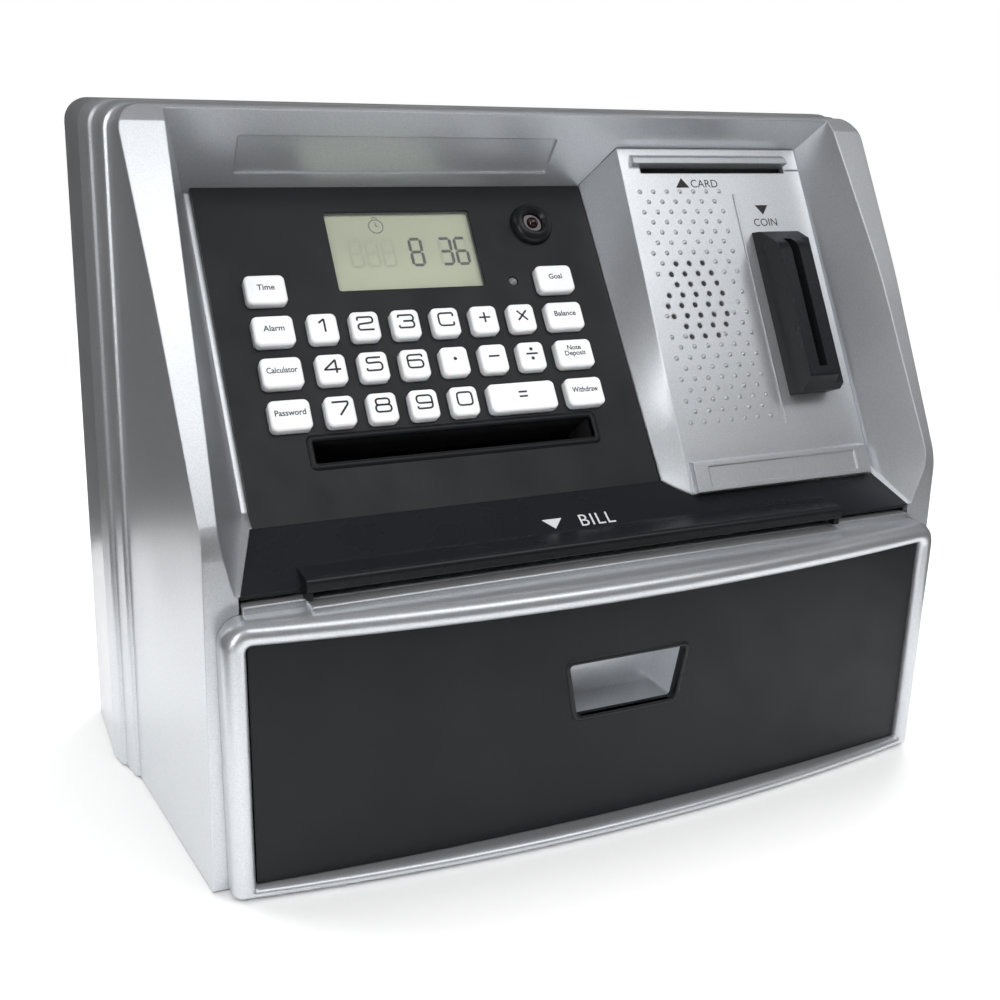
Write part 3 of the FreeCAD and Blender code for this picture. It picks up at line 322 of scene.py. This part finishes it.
def mesh_from(bm, name):
    mesh = bpy.data.meshes.new(name)
    bm.to_mesh(mesh)
    bm.free()
    return mesh


PRINT_THICK = 0.03
CAPITAL_SHARE = 0.73  # a capital's height over the font's size
LINE_SPACE = 0.82


def text_mesh(text, height, spacing=1.0, bolder=0.0):
    """Flat lettering centred on the origin, its capitals height millimetres tall."""
    curve = bpy.data.curves.new("letters", "FONT")
    curve.body = text
    curve.align_x = "CENTER"
    curve.align_y = "CENTER"
    curve.size = height * MM / CAPITAL_SHARE
    curve.space_character = spacing
    curve.space_line = LINE_SPACE
    curve.extrude = PRINT_THICK * MM / 2
    curve.offset = bolder * MM
    curve.resolution_u = 4
    holder = bpy.data.objects.new("letters", curve)
    bpy.context.scene.collection.objects.link(holder)
    bpy.context.view_layer.update()
    settled = holder.evaluated_get(bpy.context.evaluated_depsgraph_get())
    mesh = bpy.data.meshes.new_from_object(settled)
    bpy.data.objects.remove(holder)
    bpy.data.curves.remove(curve)
    centre_mesh(mesh)
    return mesh


def centre_mesh(mesh):
    xs = [vertex.co.x for vertex in mesh.vertices]
    ys = [vertex.co.y for vertex in mesh.vertices]
    shift = Vector(((min(xs) + max(xs)) / 2, (min(ys) + max(ys)) / 2, 0))
    mesh.transform(Matrix.Translation(-shift))


def fit_width(mesh, width):
    """Narrow a mesh so that it is no wider than width millimetres."""
    xs = [vertex.co.x for vertex in mesh.vertices]
    wide = max(xs) - min(xs)
    if wide > width * MM:
        mesh.transform(Matrix.Scale(width * MM / wide, 4, X_AXIS))
    return mesh


def rounded_path(points, radius, closed=False, steps=5):
    """The points with each corner replaced by an arc of about the given radius."""
    points = [Vector(p) for p in points]
    count = len(points)
    path = []
    for i, corner in enumerate(points):
        if not closed and i in (0, count - 1):
            path.append(corner)
            continue
        before, after = points[i - 1], points[(i + 1) % count]
        reach = min(radius, (before - corner).length / 2, (after - corner).length / 2)
        a = corner + (before - corner).normalized() * reach
        b = corner + (after - corner).normalized() * reach
        for step in range(steps + 1):
            t = step / steps
            path.append(a * (1 - t) ** 2 + corner * 2 * t * (1 - t) + b * t ** 2)
    return path


def ribbon(bm, path, width, thick, closed=False):
    """A flat stroke of even width along a plane path."""
    count = len(path)
    rows = []
    for i, point in enumerate(path):
        before = path[i - 1] if (closed or i > 0) else point
        after = path[(i + 1) % count] if (closed or i < count - 1) else point
        along = (after - before).normalized()
        side = Vector((-along.y, along.x)) * width / 2
        row = [bm.verts.new((p.x, p.y, z)) for p, z in
               ((point - side, 0), (point - side, thick), (point + side, thick),
                (point + side, 0))]
        rows.append(row)
    spans = list(zip(rows, rows[1:])) + ([(rows[-1], rows[0])] if closed else [])
    for one, two in spans:
        for k in range(4):
            bm.faces.new((one[k], one[(k + 1) % 4], two[(k + 1) % 4], two[k]))
    if not closed:
        bm.faces.new(rows[0][::-1])
        bm.faces.new(rows[-1])


def disc(bm, x, y, radius, thick, sides=20):
    """A round dot lying on the plane z = 0."""
    ring = [bm.verts.new((x + radius * math.cos(a), y + radius * math.sin(a), z))
            for z in (0.0, thick) for a in (2 * math.pi * i / sides for i in range(sides))]
    low, high = ring[:sides], ring[sides:]
    bm.faces.new(low[::-1])
    bm.faces.new(high)
    for i in range(sides):
        j = (i + 1) % sides
        bm.faces.new((low[i], low[j], high[j], high[i]))


# Strokes of the wide key numerals in a unit square; True closes the stroke.
NUMERALS = {
    "0": [([(0, 0), (1, 0), (1, 1), (0, 1)], True)],
    "1": [([(0.22, 0.72), (0.58, 1), (0.58, 0)], False)],
    "2": [([(0, 0.74), (0, 1), (1, 1), (1, 0.55), (0, 0.45), (0, 0), (1.02, 0)], False)],
    "3": [([(0, 0.80), (0, 1), (1, 1), (1, 0.52), (0.3, 0.52)], False),
          ([(0.3, 0.52), (1, 0.52), (1, 0), (0, 0), (0, 0.22)], False)],
    "4": [([(0.76, 0), (0.76, 1), (0, 0.28), (1.05, 0.28)], False)],
    "5": [([(0.97, 1), (0.05, 1), (0.02, 0.58), (1, 0.62), (1, 0), (0, 0), (0, 0.2)], False)],
    "6": [([(0.98, 0.8), (0.98, 1), (0, 1), (0, 0), (1, 0), (1, 0.58), (0, 0.58)], False)],
    "7": [([(0, 1), (1, 1), (1, 0.8), (0.42, 0)], False)],
    "8": [([(0, 0), (1, 0), (1, 0.53), (0, 0.53)], True),
          ([(0.06, 0.53), (0.94, 0.53), (0.94, 1), (0.06, 1)], True)],
    "9": [([(0.02, 0.2), (0.02, 0), (1, 0), (1, 1), (0, 1), (0, 0.42), (1, 0.42)], False)],
    "clear": [([(1, 0.72), (1, 1), (0, 1), (0, 0), (1, 0), (1, 0.28)], False)],
    "plus": [([(0.5, 0.08), (0.5, 0.92)], False), ([(0.1, 0.5), (0.9, 0.5)], False)],
    "times": [([(0.16, 0.1), (0.84, 0.9)], False), ([(0.16, 0.9), (0.84, 0.1)], False)],
    "minus": [([(0.12, 0.5), (0.88, 0.5)], False)],
    "divide": [([(0.08, 0.5), (0.92, 0.5)], False)],
    "equals": [([(0.2, 0.68), (0.8, 0.68)], False), ([(0.2, 0.32), (0.8, 0.32)], False)],
    "point": [],
}
DOTS = {"divide": [(0.5, 0.88), (0.5, 0.12)], "point": [(0.5, 0.5)]}
WORDS = {"time": "Time", "alarm": "Alarm", "calculator": "Calculator", "password": "Password",
         "goal": "Goal", "balance": "Balance", "note_deposit": "Note\nDeposit",
         "withdraw": "Withdraw"}
NUMERAL_WIDE, NUMERAL_TALL, STROKE = 4.5, 3.9, 0.58
SHARP = ("1", "4", "7", "plus", "times")  # numerals drawn with near sharp corners
SHARP_CORNER, ROUND_CORNER = 0.25, 1.1
DOT_RADIUS = 0.55
WORD_TALL, TWO_LINE_TALL, WORD_WIDE, WORD_BOLDER = 1.75, 1.6, 8.6, 0.045
LEGEND_RISE = 0.8  # from the middle of the key's box up to the legend
LEGEND_SINK = 0.005


def numeral_mesh(name):
    """A wide numeral or sign of one stroke width."""
    bm = bmesh.new()
    corner = SHARP_CORNER if name in SHARP else ROUND_CORNER
    for points, closed in NUMERALS[name]:
        scaled = [((x - 0.5) * NUMERAL_WIDE * MM, (y - 0.5) * NUMERAL_TALL * MM)
                  for x, y in points]
        ribbon(bm, rounded_path(scaled, corner * MM, closed), STROKE * MM,
               PRINT_THICK * MM, closed)
    for x, y in DOTS.get(name, []):
        disc(bm, (x - 0.5) * NUMERAL_WIDE * MM, (y - 0.5) * NUMERAL_TALL * MM,
             DOT_RADIUS * MM, PRINT_THICK * MM)
    return mesh_from(bm, "legend_" + name)


def print_keys():
    """The legend on every key, which moves with it."""
    for name in list(NUMERALS) + list(WORDS):
        key = "key_" + name
        face = top_face(key)
        low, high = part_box(key)
        x, v = face.of((low + high) / 2)
        if name in NUMERALS:
            mesh = numeral_mesh(name)
        else:
            word = WORDS[name]
            tall = TWO_LINE_TALL if "\n" in word else WORD_TALL
            mesh = fit_width(text_mesh(word, tall, bolder=WORD_BOLDER), WORD_WIDE)
        new_piece("print_" + key, mesh, INKS["ink_black"], key,
                  face.matrix(x, v + LEGEND_RISE, -LEGEND_SINK))


# ---------------------------------------------------------------- the display
SEGMENTS = {  # (x0, y0, x1, y1) in a digit one wide and two tall
    "a": (0, 2, 1, 2), "b": (1, 1, 1, 2), "c": (1, 0, 1, 1), "d": (0, 0, 1, 0),
    "e": (0, 0, 0, 1), "f": (0, 1, 0, 2), "g": (0, 1, 1, 1)}
LIT = {"8": "abcdefg", "3": "abcdg", "6": "acdefg", " ": ""}
DIGIT_TALL, DIGIT_WIDE, DIGIT_LOW = 8.6, 8.6 * 0.41, -4.4
SHOWN = (("8", 2.2), ("3", 11.6), ("6", 16.7))  # each digit and its left edge
BLANK = (-16.6, -11.6, -6.6)  # left edges of the digits that are off
SHOWN_BAR, BLANK_BAR = 0.95, 0.8
CLOCK_PLACE, CLOCK_RADIUS, CLOCK_LINE, HAND_LINE = (-7.0, 8.7), 2.2, 0.26, 0.24
CLOCK_HANDS = ((0, 1.35), (0.9, 0.0))
CLOCK_BELL = ((-0.9, 2.6), (0, 3.1), (0.9, 2.6))
DISPLAY_GAP = 0.01


def add_segment(bm, x0, y0, x1, y1, width, thick):
    """One pointed bar of a seven-segment digit."""
    a, b = Vector((x0, y0)), Vector((x1, y1))
    along = (b - a).normalized()
    side = Vector((-along.y, along.x)) * width / 2
    gap, tip = along * width * 0.18, along * width * 0.55
    outline = [a + gap, a + tip + side, b - tip + side, b - gap, b - tip - side, a + tip - side]
    low = [bm.verts.new((p.x, p.y, 0)) for p in outline]
    high = [bm.verts.new((p.x, p.y, thick)) for p in outline]
    bm.faces.new(low)
    bm.faces.new(high[::-1])
    for i in range(6):
        j = (i + 1) % 6
        bm.faces.new((low[j], low[i], high[i], high[j]))


def digit(bm, value, left, bar, lit):
    """The lit or the unlit segments of a digit, left of which is given in millimetres."""
    half = DIGIT_TALL / 2
    for name, (x0, y0, x1, y1) in SEGMENTS.items():
        if (name in LIT[value]) == lit:
            add_segment(bm, (left + x0 * DIGIT_WIDE) * MM, (DIGIT_LOW + y0 * half) * MM,
                        (left + x1 * DIGIT_WIDE) * MM, (DIGIT_LOW + y1 * half) * MM,
                        bar * MM, PRINT_THICK * MM)


def alarm_clock(bm, sides=28):
    """The small clock sign over the digits."""
    centre = Vector(CLOCK_PLACE) * MM
    angles = [2 * math.pi * i / sides for i in range(sides)]
    rim = [centre + Vector((math.cos(a), math.sin(a))) * CLOCK_RADIUS * MM for a in angles]
    ribbon(bm, rim, CLOCK_LINE * MM, PRINT_THICK * MM, True)
    for hand in CLOCK_HANDS:
        ribbon(bm, [centre, centre + Vector(hand) * MM], HAND_LINE * MM, PRINT_THICK * MM)
    bell = [centre + Vector(point) * MM for point in CLOCK_BELL]
    ribbon(bm, bell, HAND_LINE * MM, PRINT_THICK * MM)


def show_display():
    """The display's dark and faint segments, just over the glass."""
    low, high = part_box("lcd_window")
    face = top_face("lcd_module")
    x, v = face.of((low + high) / 2)
    lit, faint = bmesh.new(), bmesh.new()
    for value, left in SHOWN:
        digit(lit, value, left, SHOWN_BAR, True)
        digit(faint, value, left, SHOWN_BAR, False)
    for left in BLANK:
        digit(faint, " ", left, BLANK_BAR, False)
    alarm_clock(lit)
    for bm, ink, name in ((lit, "segment_dark", "display_lit"),
                          (faint, "segment_faint", "display_faint")):
        new_piece(name, mesh_from(bm, name), INKS[ink], "case",
                  face.matrix(x, v, DISPLAY_GAP))


# ---------------------------------------------------------------- card and coin panel
def triangle(bm, x, y, wide, tall):
    """A flat arrow head; a negative height points down."""
    corners = [(x - wide / 2, y - tall / 2), (x + wide / 2, y - tall / 2), (x, y + tall / 2)]
    low = [bm.verts.new((a, b, 0)) for a, b in corners]
    high = [bm.verts.new((a, b, PRINT_THICK * MM)) for a, b in corners]
    bm.faces.new(low)
    bm.faces.new(high[::-1])
    for i in range(3):
        j = (i + 1) % 3
        bm.faces.new((low[j], low[i], high[i], high[j]))


def print_word(name, face, text, x, v, height, arrow, ink, spacing=1.0):
    """A word printed on a face of the case, with an arrow head (x, v, width, height)."""
    new_piece("print_" + name, text_mesh(text, height, spacing=spacing), INKS[ink], "case",
              face.matrix(x, v))
    bm = bmesh.new()
    ax, av, wide, tall = arrow
    triangle(bm, 0, 0, wide * MM, tall * MM)
    bmesh.ops.recalc_face_normals(bm, faces=bm.faces)
    new_piece("arrow_" + name, mesh_from(bm, name), INKS[ink], "case",
              face.matrix(ax, av))


def dome(bm, x, y, radius, rise, sides=14, rings=4):
    """A low round bump standing on the plane z = 0."""
    previous = None
    for k in range(rings):
        angle = math.pi / 2 * k / rings
        r, z = radius * math.cos(angle), rise * math.sin(angle)
        ring = [bm.verts.new((x + r * math.cos(a), y + r * math.sin(a), z))
                for a in (2 * math.pi * i / sides for i in range(sides))]
        if previous:
            for i in range(sides):
                j = (i + 1) % sides
                bm.faces.new((previous[i], previous[j], ring[j], ring[i]))
        previous = ring
    top = bm.verts.new((x, y, rise))
    for i in range(sides):
        bm.faces.new((previous[i], previous[(i + 1) % sides], top))
    for face in bm.faces:
        face.smooth = True


# The raised dots go on with the rows of the speaker's holes, and stop round them.
GRILLE_X, GRILLE_V, GRILLE_ACROSS, GRILLE_UP = 49.8, 61.4, 4.9, 3.42
GRILLE_ROW_COUNT = 8
HOLES_HALF_WIDE, HOLES_HALF_TALL = 12.6, 14.6
DOT_ROWS, DOT_COLUMNS = range(-7, 16), range(-3, 5)
DOTS_LEFT, DOTS_RIGHT, DOTS_LOW, DOTS_HIGH = 36.3, 67.2, 17.5, 97.5
DIMPLE_RADIUS, DIMPLE_RISE, DIMPLE_SINK = 0.80, 0.42, 0.01


def dress_coin_panel():
    """Raised dots round the speaker's holes, and the two printed words."""
    face = widest_face("card_coin_panel", COIN_PANEL_AIM)
    bm = bmesh.new()
    top_row = GRILLE_V + (GRILLE_ROW_COUNT - 1) / 2 * GRILLE_UP
    for row in DOT_ROWS:
        v = top_row - row * GRILLE_UP
        shift = 0.0 if row % 2 == 0 else GRILLE_ACROSS / 2
        for column in DOT_COLUMNS:
            x = GRILLE_X + column * GRILLE_ACROSS - shift
            holes = (((x - GRILLE_X) / HOLES_HALF_WIDE) ** 2
                     + ((v - GRILLE_V) / HOLES_HALF_TALL) ** 2)
            if holes > 1.0 and DOTS_LEFT < x < DOTS_RIGHT and DOTS_LOW < v < DOTS_HIGH:
                dome(bm, x * MM, v * MM, DIMPLE_RADIUS * MM, DIMPLE_RISE * MM)
    new_piece("dimples", mesh_from(bm, "dimples"), MATERIALS["silver_paint"], "case",
              face.matrix(0, 0, -DIMPLE_SINK))
    print_word("card", face, "CARD", 62.0, 100.0, 2.8, (53.7, 100.3, 5.0, 3.3), "ink_black")
    print_word("coin", face, "COIN", 82.3, 86.4, 2.7, (82.1, 90.7, 5.0, -3.3), "ink_black")


def dress_ledge():
    """The printed word over the lower note slot."""
    face = widest_face("bill_ledge", LEDGE_AIM)
    print_word("bill", face, "BILL", -1.4, 9.8, 4.3, (-15.2, 9.8, 6.2, -3.5), "ink_silver",
               spacing=1.1)


# ---------------------------------------------------------------- bezel round the drawer
BEZEL_HALF, BEZEL_LOW, BEZEL_TOP = 112.4, 0.8, 78.2
DOORWAY_HALF, DOORWAY_LOW, DOORWAY_TOP = 106.4, 4.1, 72.2
BEZEL_SIDE_Y, BEZEL_BOW, BEZEL_BACK_Y = -59.6, 9.4, -52.4
BEZEL_CORNERS, DOORWAY_CORNERS = (1.2, 6.5), (0.8, 1.6)  # radii at the foot and at the top
# The rail's section: (share of its width from the outer edge, distance behind its front).
# None stands for the flat back.
RAIL_SECTION = [(0.0, None), (0.0, 4.6), (0.012, 3.4), (0.05, 2.3), (0.13, 1.25),
                (0.25, 0.5), (0.40, 0.1), (0.55, 0.0), (0.70, 0.12), (0.82, 0.45),
                (0.92, 1.05), (0.98, 1.9), (1.0, 2.9), (1.0, 6.0)]
# Limits in x, y and z, and the radius of the edges.
NOTE_LIP = ((-89.4, 75.9), (-58.2, -50.0), (77.0, 79.8), 0.5)
BEZEL_COLLAR = ((-105.6, 105.6), (-53.0, -46.0), (76.2, 80.2), 0.4)


def loop_points(half, low, top, corner_low, corner_top, straight=26, turn=8):
    """A rounded rectangle in x and z, with the same number of points for any size."""
    corners = [(-half, low, corner_low, 1, 1, 180), (half, low, corner_low, -1, 1, 270),
               (half, top, corner_top, -1, -1, 0), (-half, top, corner_top, 1, -1, 90)]
    points = []
    for i, (x, z, radius, inward, upward, angle) in enumerate(corners):
        centre = (x + inward * radius, z + upward * radius)
        for step in range(turn + 1):
            a = math.radians(angle + 90 * step / turn)
            points.append((centre[0] + radius * math.cos(a), centre[1] + radius * math.sin(a)))
        nx, nz, nr, ni, nu, na = corners[(i + 1) % 4]
        a = math.radians(na)
        end = (nx + ni * nr + nr * math.cos(a), nz + nu * nr + nr * math.sin(a))
        start = points[-1]
        for step in range(1, straight):
            t = step / straight
            points.append((start[0] + (end[0] - start[0]) * t,
                           start[1] + (end[1] - start[1]) * t))
    return points


def loft_rings(name, rings, slot, body="case"):
    """A closed band through rings of points given in metres."""
    bm = bmesh.new()
    rows = [[bm.verts.new(point) for point in ring] for ring in rings]
    for one, two in zip(rows, rows[1:]):
        for i in range(len(one)):
            j = (i + 1) % len(one)
            bm.faces.new((one[i], one[j], two[j], two[i])).smooth = True
    bmesh.ops.recalc_face_normals(bm, faces=bm.faces)
    return new_piece(name, mesh_from(bm, name), MATERIALS[slot], body)


def build_bezel():
    """The bowed half-round rail round the drawer, and the lip and collar on top of it."""
    outer = loop_points(BEZEL_HALF, BEZEL_LOW, BEZEL_TOP, *BEZEL_CORNERS)
    inner = loop_points(DOORWAY_HALF, DOORWAY_LOW, DOORWAY_TOP, *DOORWAY_CORNERS)
    rings = []
    for share, behind in RAIL_SECTION:
        ring = []
        for (ox, oz), (ix, iz) in zip(outer, inner):
            x, z = ox + (ix - ox) * share, oz + (iz - oz) * share
            front = BEZEL_SIDE_Y - BEZEL_BOW * (1 - (x / BEZEL_HALF) ** 2)
            y = BEZEL_BACK_Y if behind is None else front + behind
            ring.append((x * MM, y * MM, z * MM))
        rings.append(ring)
    bezel = loft_rings("drawer_bezel", rings, "silver_paint")
    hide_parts("door_frame")
    rounded_block("note_lip", *NOTE_LIP)
    rounded_block("bezel_collar", *BEZEL_COLLAR)


def grown(points, grow):
    """A four-sided outline moved outwards by grow on every side."""
    centre_x = sum(x for x, _ in points) / 4
    centre_z = sum(z for _, z in points) / 4
    return [(x + math.copysign(grow, x - centre_x), z + math.copysign(grow, z - centre_z))
            for x, z in points]


RIM_SECTION = [(0.0, -1.2), (0.0, 0.15), (0.25, 0.45), (0.65, 0.5), (1.05, 0.4), (1.5, 0.0),
               (1.5, -0.3)]  # (distance out from the opening, height above the face)
PULL_OPENING = [(-15.8, 37.6), (15.8, 37.6), (18.8, 53.6), (-18.8, 53.6)]
PULL_CORNER = 1.5
FRONT_SIDE_Y, FRONT_BOW, FRONT_HALF = -58.1, 5.3, 106.0
SLOT_OPENING = [(-77.9, -27.2), (7.0, -27.2), (7.0, -20.5), (-77.9, -20.5)]
SLOT_CORNER, SLOT_RIM_WIDER, SLOT_RIM_LOWER = 0.6, 1.2, 0.8
# Raised lines on the card and coin panel: the two ends, and the width.
PANEL_LINES = {"panel_rib": ((72.2, 18.9), (72.2, 96.2), 0.9),
               "panel_seam": ((94.6, 104.6), (100.2, 104.6), 0.5)}
LINE_RISE, LINE_EDGE, LINE_SINK = 0.4, 0.12, 0.02
KEY_ROW_1 = 11.6  # the v that the keys 1, 2 and 3 have


def rim_path(opening, out, corner):
    """The opening's outline moved out by a distance, with rounded corners."""
    return rounded_path(grown(opening, out), corner, True)


def build_pull_rim():
    """Thin lip round the drawer's finger pull, on the bowed front."""
    rings = []
    for out, proud in RIM_SECTION:
        ring = []
        for point in rim_path(PULL_OPENING, out, PULL_CORNER + out):
            front = FRONT_SIDE_Y - FRONT_BOW * (1 - (point.x / FRONT_HALF) ** 2)
            ring.append(Vector((point.x, front - proud, point.y)) * MM)
        rings.append(ring)
    loft_rings("pull_rim", rings, "gloss_black", "drawer")


def console_face():
    """The console's face, with v counted so that the keys' first row is at KEY_ROW_1."""
    face = widest_face("console_panel", CONSOLE_AIM)
    low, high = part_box("key_1")
    face.start += face.of((low + high) / 2)[1] - KEY_ROW_1
    return face


def build_slot_rim():
    """Thin lip round the upper note slot."""
    face = console_face()
    rings = [[face.at(point.x, point.y, proud * SLOT_RIM_LOWER)
              for point in rim_path(SLOT_OPENING, out * SLOT_RIM_WIDER, SLOT_CORNER + out)]
             for out, proud in RIM_SECTION]
    loft_rings("slot_rim", rings, "black_satin")


def build_panel_lines():
    """Raised rib beside the dots, and the seam from the card slot to the panel's edge."""
    face = widest_face("card_coin_panel", COIN_PANEL_AIM)
    for name, (start, end, width) in PANEL_LINES.items():
        bm = bmesh.new()
        ribbon(bm, [Vector(start) * MM, Vector(end) * MM], width * MM, LINE_RISE * MM)
        bmesh.ops.bevel(bm, geom=bm.edges[:], offset=LINE_EDGE * MM, segments=2,
                        affect="EDGES")
        new_piece(name, mesh_from(bm, name), MATERIALS["silver_paint"], "case",
                  face.matrix(0, 0, -LINE_SINK))


def rounded_block(name, xs, ys, zs, radius):
    """A silver block of the case, rounded, between the given limits in millimetres."""
    bm = bmesh.new()
    bmesh.ops.create_cube(bm, size=1.0)
    for vertex in bm.verts:
        for axis, (low, high) in enumerate((xs, ys, zs)):
            vertex.co[axis] = (low if vertex.co[axis] < 0 else high) * MM
    bmesh.ops.bevel(bm, geom=bm.edges[:], offset=radius * MM, segments=3, affect="EDGES",
                    profile=0.5)
    for face in bm.faces:
        face.smooth = True
    return new_piece(name, mesh_from(bm, name), MATERIALS["silver_paint"], "case")


# ---------------------------------------------------------------- studio
LIGHT_TARGET = (0, 0, 0.1)
# Place, size in metres, power, and whether it shows as a reflection.
LIGHTS = {
    "front_box": ((0.25, -0.8, 1.25), (1.3, 0.7), 6, True),
    "left_strip": ((-0.95, -0.8, 0.45), (0.16, 1.0), 4, True),
    "key": ((-0.6, -1.3, 1.5), (1.0, 1.0), 17, False),
    "fill": ((1.3, -1.0, 0.9), (1.2, 1.2), 9, False),
    "top": ((0.0, 0.3, 1.8), (1.6, 1.2), 24, False),
    "rear_left": ((-1.6, 1.6, 1.5), (1.2, 1.2), 26, False),
    "rear_right": ((1.6, 1.6, 1.5), (1.2, 1.2), 26, False),
}
# How the world's light grows along an axis: from, to, least and most.
WORLD_RAMPS = {"Z": (-0.1, 1.0, 0.22, 0.95), "Y": (1.0, -1.0, 0.45, 1.0)}
NEAR_FLOOR_HALF, FAR_FLOOR_HALF, FAR_FLOOR_Z = 0.24, 0.85, -0.0004
BACKDROP_RADIUS = 3.6


def area_light(name, place, size, power, reflected):
    """A rectangular light aimed at the bank, which may leave no reflection on it."""
    data = bpy.data.lights.new(name, "AREA")
    data.shape = "RECTANGLE"
    data.size, data.size_y = size
    data.energy = power
    light = bpy.data.objects.new(name, data)
    light.location = place
    aim = Vector(LIGHT_TARGET) - Vector(place)
    light.rotation_euler = aim.to_track_quat("-Z", "Y").to_euler()
    light.visible_glossy = reflected
    bpy.context.scene.collection.objects.link(light)


def world_light():
    """Dim below and behind, brighter above and in front, as in a small studio."""
    world = bpy.data.worlds.new("studio")
    bpy.context.scene.world = world
    world.use_nodes = True
    nodes, links = world.node_tree.nodes, world.node_tree.links
    split = nodes.new("ShaderNodeSeparateXYZ")
    links.new(nodes.new("ShaderNodeTexCoord").outputs["Generated"], split.inputs[0])
    shares = []
    for axis, limits in WORLD_RAMPS.items():
        ramp = nodes.new("ShaderNodeMapRange")
        for socket, value in zip(("From Min", "From Max", "To Min", "To Max"), limits):
            ramp.inputs[socket].default_value = value
        links.new(split.outputs[axis], ramp.inputs["Value"])
        shares.append(ramp.outputs["Result"])
    product = nodes.new("ShaderNodeMath")
    product.operation = "MULTIPLY"
    for share, socket in zip(shares, product.inputs):
        links.new(share, socket)
    links.new(product.outputs[0], nodes["Background"].inputs["Strength"])


def floor_piece(name, half, z, reflected, material):
    """A square of floor; the near one shows in reflections and the far one does not."""
    mesh = bpy.data.meshes.new(name)
    corners = [(-half, -half, z), (half, -half, z), (half, half, z), (-half, half, z)]
    mesh.from_pydata(corners, [], [(0, 1, 2, 3)])
    mesh.materials.append(material)
    plane = bpy.data.objects.new(name, mesh)
    plane.visible_glossy = reflected
    bpy.context.scene.collection.objects.link(plane)


def backdrop():
    """A plain white shell round everything, seen only by the camera."""
    bm = bmesh.new()
    bmesh.ops.create_uvsphere(bm, u_segments=48, v_segments=24, radius=BACKDROP_RADIUS)
    mesh = mesh_from(bm, "backdrop")
    white = bpy.data.materials.new("white_backdrop")
    white.use_nodes = True
    tree = white.node_tree
    tree.nodes.remove(tree.nodes["Principled BSDF"])
    glow = tree.nodes.new("ShaderNodeEmission")
    tree.links.new(glow.outputs[0], tree.nodes["Material Output"].inputs["Surface"])
    mesh.materials.append(white)
    shell = bpy.data.objects.new("backdrop", mesh)
    for ray in ("visible_glossy", "visible_diffuse", "visible_shadow", "visible_transmission"):
        setattr(shell, ray, False)
    bpy.context.scene.collection.objects.link(shell)


def studio():
    """The white room of a catalogue picture."""
    bpy.context.scene.view_settings.view_transform = "Standard"
    world_light()
    pale = Shader("pale_floor", (0.88, 0.88, 0.88), 0.75)
    pale.tint(pale.noise(3.0, 2.0), 0.99, 1.01)
    floor_piece("near_floor", NEAR_FLOOR_HALF, 0.0, True, pale.material)
    floor_piece("far_floor", FAR_FLOOR_HALF, FAR_FLOOR_Z, False, pale.material)
    backdrop()
    for name, (place, size, power, reflected) in LIGHTS.items():
        area_light(name, place, size, power, reflected)


CAMERA_PLACE = (-167.6, -334.5, 199.3)
CAMERA_TURN, CAMERA_DOWN, CAMERA_ROLL = 25.01, 17.67, 1.34  # degrees
CAMERA_LENS, SENSOR_WIDTH = 44.44, 36.0


def camera():
    """The photograph's view: turned to the right, tilted down, rolled a little."""
    turn, down, roll = (math.radians(a) for a in (CAMERA_TURN, CAMERA_DOWN, CAMERA_ROLL))
    ahead = Vector((math.sin(turn) * math.cos(down), math.cos(turn) * math.cos(down),
                    -math.sin(down)))
    right = ahead.cross(Vector((0, 0, 1))).normalized()
    up = right.cross(ahead)
    across = right * math.cos(roll) + up * math.sin(roll)
    above = up * math.cos(roll) - right * math.sin(roll)
    data = bpy.data.cameras.new("camera")
    data.sensor_width = SENSOR_WIDTH
    data.lens = CAMERA_LENS
    data.clip_start = 0.01
    holder = bpy.data.objects.new("camera", data)
    holder.matrix_world = (Matrix.Translation(Vector(CAMERA_PLACE) * MM)
                           @ Matrix((across, above, -ahead)).transposed().to_4x4())
    bpy.context.scene.collection.objects.link(holder)
    bpy.context.scene.camera = holder


paint_nodes()
print_keys()
show_display()
dress_coin_panel()
dress_ledge()
build_bezel()
build_pull_rim()
build_slot_rim()
build_panel_lines()
studio()
camera()
